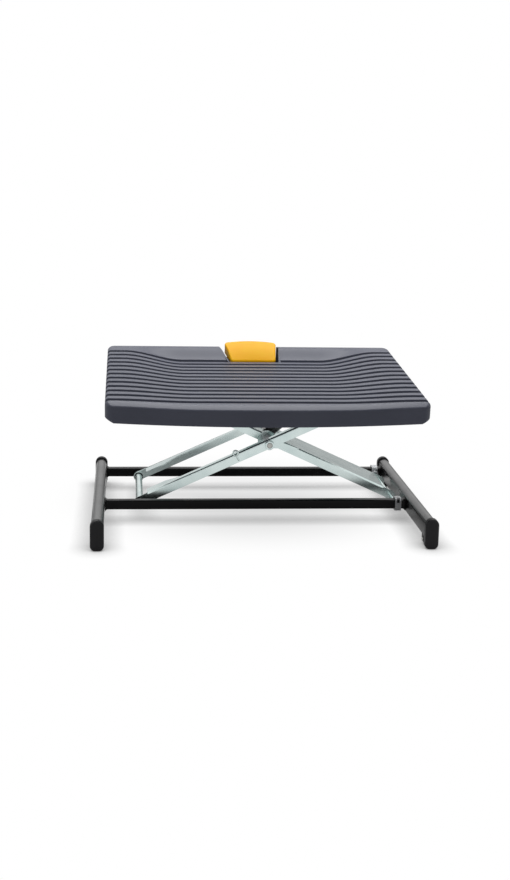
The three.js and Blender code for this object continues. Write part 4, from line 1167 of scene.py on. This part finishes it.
def hex_nut(node, side):
    """A hexagon's radius at a turn is its corner radius times cos 30 over the cosine of the
    turn from the middle of the nearest flat. The chamfer caps that radius at each end."""
    turn = np.linspace(0, 2 * math.pi, 72, endpoint=False)
    flat = NUT_CORNER * math.cos(math.radians(30)) / np.cos(turn % (math.pi / 3) - math.pi / 6)
    rings = []
    chamfers = ((0, 4.3), (0, 6.2), (0.55, 7.2), (5.85, 7.2), (6.25, 6.6), (6.4, 6.1), (6.4, 4.3))
    for y, cap in chamfers:
        r = np.minimum(flat, cap)
        x, z = r * np.cos(turn - REST), r * np.sin(turn - REST)
        rings.append(ring_at(x, side * (NUT_SEAT + y), z) + CROSSING)
    piece = from_rings(f"{node}_hexagon", rings, True, 25)
    dress(piece, "outer_frame", zinc_sheet, [node])


for end, side in ENDS:
    hex_nut(f"{end}_axle_nut", side)
print("nuts 2")

# %% [markdown]
# The small eye on the front arm is one bent wire: a short stem that turns into a ring. A
# round section is carried along that path, which lies in the arm's plane.


# %% The wire eye
def wire(name, path, radius, sides=20):
    """A round section along a path square to Y: one spoke is Y, the other is the path's
    direction turned a quarter, and both ends close in a half round."""
    path = np.array(path, float)
    step = np.gradient(path, axis=0)
    step /= np.linalg.norm(step, axis=1)[:, None]
    across = np.stack([-step[:, 2], np.zeros(len(path)), step[:, 0]], axis=1)
    turn = np.linspace(0, 2 * math.pi, sides, endpoint=False)[:, None]
    places = [(centre, spoke, radius) for centre, spoke in zip(path, across)]
    for a in np.radians([25, 45, 65, 85]):
        back, round_end = radius * math.sin(a), radius * math.cos(a)
        places.insert(0, (path[0] - step[0] * back, across[0], round_end))
        places.append((path[-1] + step[-1] * back, across[-1], round_end))
    rings = []
    for centre, spoke, r in places:
        rings.append(centre + r * (np.cos(turn) * spoke + np.sin(turn) * np.array([0, 1, 0])))
    return from_rings(name, rings, False, 60)


EYE_S, EYE_W, EYE_RADIUS, EYE_Y = -51.75, 9.5, 3.9, -81.1
path = [(EYE_S, w) for w in np.linspace(-2.2, 5.2, 6)]
for a in np.radians(np.arange(12, 346, 9)):
    path.append((EYE_S + EYE_RADIUS * math.sin(a), EYE_W - EYE_RADIUS * math.cos(a)))
eye = wire("arm_wire_eye", [on_outer(s, EYE_Y, w) for s, w in path], 1.3)
dress(eye, "outer_frame", zinc_sheet, ["front_arm_lug"])
print("wire eye", len(eye.data.polygons), "faces")

# %% [markdown]
# ## Gas spring
#
# A gas spring is a drawn tube, painted black, that is rolled in over its guide where the
# rod comes out. The rod is ground and bright. Its lower eye turns on the crossing axle.

# %% Cylinder, rod and release pin
SPRING_TURN = math.radians(41.254)
SPRING_AXIS = (math.cos(SPRING_TURN), 0, math.sin(SPRING_TURN))
tube = [(9.4, 0), (9.4, 8.8), (10.4, 10.4), (12.2, 11), (86, 11), (87.2, 10.3), (88.4, 10.3)]
tube += [(89.6, 11), (91, 10.6), (92, 9.2), (92, 4.3), (14, 4.3), (14, 0)]
turned_part("gas_cylinder", "gas_cylinder", GLOSS, CROSSING, tube, SPRING_AXIS, 0.25, 64)
eye_ring = eased_outline([(-6.5, 6.4), (-6.5, 9), (6.5, 9), (6.5, 6.4)], 0.5)
eye = turned("cylinder_eye", CROSSING, (0, 1, 0), eye_ring)
dress(eye, "gas_cylinder", black_paint)
neck = turned("cylinder_neck", CROSSING, SPRING_AXIS, [(7.0, 0), (7.0, 6.2), (9.8, 6.2), (9.8, 0)])
dress(neck, "gas_cylinder", black_paint)
rod = [(14.2, 0), (14.2, 4), (110.2, 4), (110.2, 0)]
turned_part("gas_spring_rod", "gas_rod", STEEL, CROSSING, rod, SPRING_AXIS)
pin = [(124.503, 0), (124.503, 2), (131.503, 2), (131.503, 0)]
turned_part("release_pin", "release_pin", STEEL, CROSSING, pin, SPRING_AXIS)
print("gas spring 5 pieces")

# %% Screws
plate_screw = [(-4.0, 0), (-4.0, 2.2), (-3.4, 3.4), (-2.6, 3.8)]
plate_screw += [(-1.8, 3.8), (-1.8, 2), (3, 2), (3, 0)]
pan_head = [(-6.7, 0), (-6.7, 1.5), (0.3, 1.5), (0.3, 3.2)]
pan_head += [(0.9, 3.1), (1.4, 2.4), (1.7, 1.2), (1.7, 0)]
CAP_SCREW_X, CAP_SCREW_Y, CAP_SCREW_Z = 227.5, 170, 8.6
for end, side in ENDS:
    for hand, x in SCREW_X.items():
        place = (x, CENTRE_Y + side * SCREW_LINE, RAIL_TOP)
        node = f"{end}_{hand}_plate_screw"
        turned_part(node, "carriage", STEEL, place, plate_screw, (0, 0, 1), 0.15, 32)
for hand, sign in HANDS:
    for end, side in ENDS:
        place = (sign * CAP_SCREW_X, side * CAP_SCREW_Y + SHIFT_Y, CAP_SCREW_Z)
        node = f"{hand}_{end}_cap_screw"
        turned_part(node, "base", STEEL, place, pan_head, (-sign, 0, 0), 0.12, 32)
print("screws 8")

# %% [markdown]
# A piece that stands for a node should fill the same box. The loop prints those that differ
# by more than half a millimetre, and the nodes that nothing stands for.

# %% Compare boxes
bpy.context.view_layer.update()
for piece in bpy.context.scene.objects:
    stands_for = list(piece.get("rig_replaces", []))
    if len(stands_for) != 1:
        continue
    corners = np.array([v.co for v in piece.data.vertices])
    mine = np.concatenate([corners.min(0), corners.max(0)]) * 1000
    low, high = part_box(stands_for[0])
    theirs = np.array([*low, *high]) * 1000
    if np.abs(mine - theirs).max() > 0.5:
        print("differs", piece.name, np.round(mine - theirs, 2))
print("left as they are", [name for name, piece in nodes.items() if not piece.hide_render])

# %% [markdown]
# ## Floor and light
#
# A catalogue picture is taken on white paper under one large soft lamp. The lamp hangs
# overhead, a little to the rear, so the tops are bright, the skirt stays dark and the tube
# tops carry a clear reflection. A faint lamp at the left only shapes what faces it. The
# paper keeps the soft shadow near the object and is plain white further out, for the camera
# and for reflections. A real sheet would need more light to do that, so rays are told apart.

# %% Floor
FLOOR_REACH = 6.0
UNDER_PLATE = (0, 0.1, 0)
floor_mesh = bpy.data.meshes.new("floor")
corners = [(x * FLOOR_REACH, y * FLOOR_REACH, 0) for x, y in ((-1, -1), (1, -1), (1, 1), (-1, 1))]
floor_mesh.from_pydata(corners, [], [(0, 1, 2, 3)])
floor = in_scene("floor", floor_mesh)
paint = {"Base_Color": linear("#C4C4C4"), "Roughness": 0.9, "Specular_IOR_Level": 0.0}
floor_paper, tree, principled = finish_for("matt_white_paper", **paint)
place = add_node(tree, "ShaderNodeTexCoord").outputs["Object"]


def cleared(near, far, least):
    """How white the paper is at a distance from a place under the plate: the least up close,
    one far out."""
    inputs = {0: place, 1: UNDER_PLATE}
    away = add_node(tree, "ShaderNodeVectorMath", inputs, operation="DISTANCE")
    inputs = {0: away.outputs["Value"], 1: near, 2: far, 3: least, 4: 1}
    ramp = add_node(tree, "ShaderNodeMapRange", inputs, interpolation_type="SMOOTHSTEP")
    return ramp.outputs[0]


# Rays to the camera see the paper white further out. Rays that glossy pieces send see it
# less white to the rear, so the steel that faces that way has some depth
depth = add_node(tree, "ShaderNodeSeparateXYZ", {0: place}).outputs["Y"]
inputs = {0: depth, 1: -0.15, 2: 0.35, 3: 0.9, 4: 0.35}
rearward = add_node(tree, "ShaderNodeMapRange", inputs).outputs[0]
inputs = {0: cleared(near=0.1, far=0.4, least=0.15), 1: rearward}
dimmed = add_node(tree, "ShaderNodeMath", inputs, operation="MULTIPLY").outputs[0]
clear = cleared(near=0.05, far=0.33, least=0.66)
rays = add_node(tree, "ShaderNodeLightPath")
shares = []
for kind, white_share in (("Is Camera Ray", clear), ("Is Glossy Ray", dimmed)):
    inputs = {0: rays.outputs[kind], 1: white_share}
    shares.append(add_node(tree, "ShaderNodeMath", inputs, operation="MULTIPLY").outputs[0])
share = add_node(tree, "ShaderNodeMath", {0: shares[0], 1: shares[1]}, operation="MAXIMUM")
# The white carries a painted shadow: ambient occlusion darkens its colour where a foot or a tube comes
# close to the paper
painted_contact_shadow = add_node(tree, "ShaderNodeAmbientOcclusion", {"Distance": 0.035}, samples=8)
plain = add_node(tree, "ShaderNodeEmission", {"Color": painted_contact_shadow.outputs["Color"], "Strength": 1.0})
inputs = {0: share.outputs[0], 1: principled.outputs[0], 2: plain.outputs[0]}
mixed = add_node(tree, "ShaderNodeMixShader", inputs)
tree.links.new(mixed.outputs[0], tree.nodes["Material Output"].inputs["Surface"])
floor_mesh.materials.append(floor_paper)
floor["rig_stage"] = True
print("floor", 2 * FLOOR_REACH, "m wide")


# %% Lamps and world
def softbox(name, place, target, size, power):
    """A square area lamp of that size in metres, with its power in watts, that points at
    the target."""
    data = bpy.data.lights.new(name, "AREA")
    data.shape = "SQUARE"
    data.size = size
    data.energy = power
    lamp = in_scene(name, data)
    aim = (Vector(target) - Vector(place)).normalized()
    lamp.rotation_euler = aim.to_track_quat("-Z", "Y").to_euler()
    lamp.location = place


softbox("overhead", place=(0, 0.55, 1.87), target=(0, 0, 0.1), size=1.5, power=38)
softbox("side", place=(-1.7, 0.1, 0.45), target=(0, 0, 0.15), size=0.5, power=1.5)
world = bpy.data.worlds.new("studio")
bpy.context.scene.world = world
world.use_nodes = True
tree = world.node_tree
tree.nodes.clear()
rays = add_node(tree, "ShaderNodeLightPath")
place = add_node(tree, "ShaderNodeTexCoord").outputs["Object"]
way = add_node(tree, "ShaderNodeSeparateXYZ", {0: place})
# For glossy rays the room is dark at the horizon, most to the rear, and bright overhead
inputs = {0: way.outputs["Y"], 1: -0.3, 2: 0.3, 3: 0.7, 4: 0.3}
horizon = add_node(tree, "ShaderNodeMapRange", inputs).outputs[0]
inputs = {0: way.outputs["Z"], 1: 0.05, 2: 0.27, 3: horizon, 4: 1.05}
rise = add_node(tree, "ShaderNodeMapRange", inputs).outputs[0]
# The other rays see a faint even white, and the camera plain white
skies = []
for strength in (0.22, 1.0, rise):
    inputs = {"Color": (1, 1, 1, 1), "Strength": strength}
    skies.append(add_node(tree, "ShaderNodeBackground", inputs))
soft, white, room = skies
chosen = soft
for kind, sky in (("Is Glossy Ray", room), ("Is Camera Ray", white)):
    inputs = {0: rays.outputs[kind], 1: chosen.outputs[0], 2: sky.outputs[0]}
    chosen = add_node(tree, "ShaderNodeMixShader", inputs)
add_node(tree, "ShaderNodeOutputWorld", {"Surface": chosen.outputs[0]})
bpy.context.scene.view_settings.view_transform = "Standard"
print("lamps 2, world", world.name)

# %% Sizes, and the end
visual_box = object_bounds()
for name, pair in (("cad", cad_box), ("visual", visual_box)):
    print(name, [[round(v * 1000, 2) for v in corner] for corner in pair])
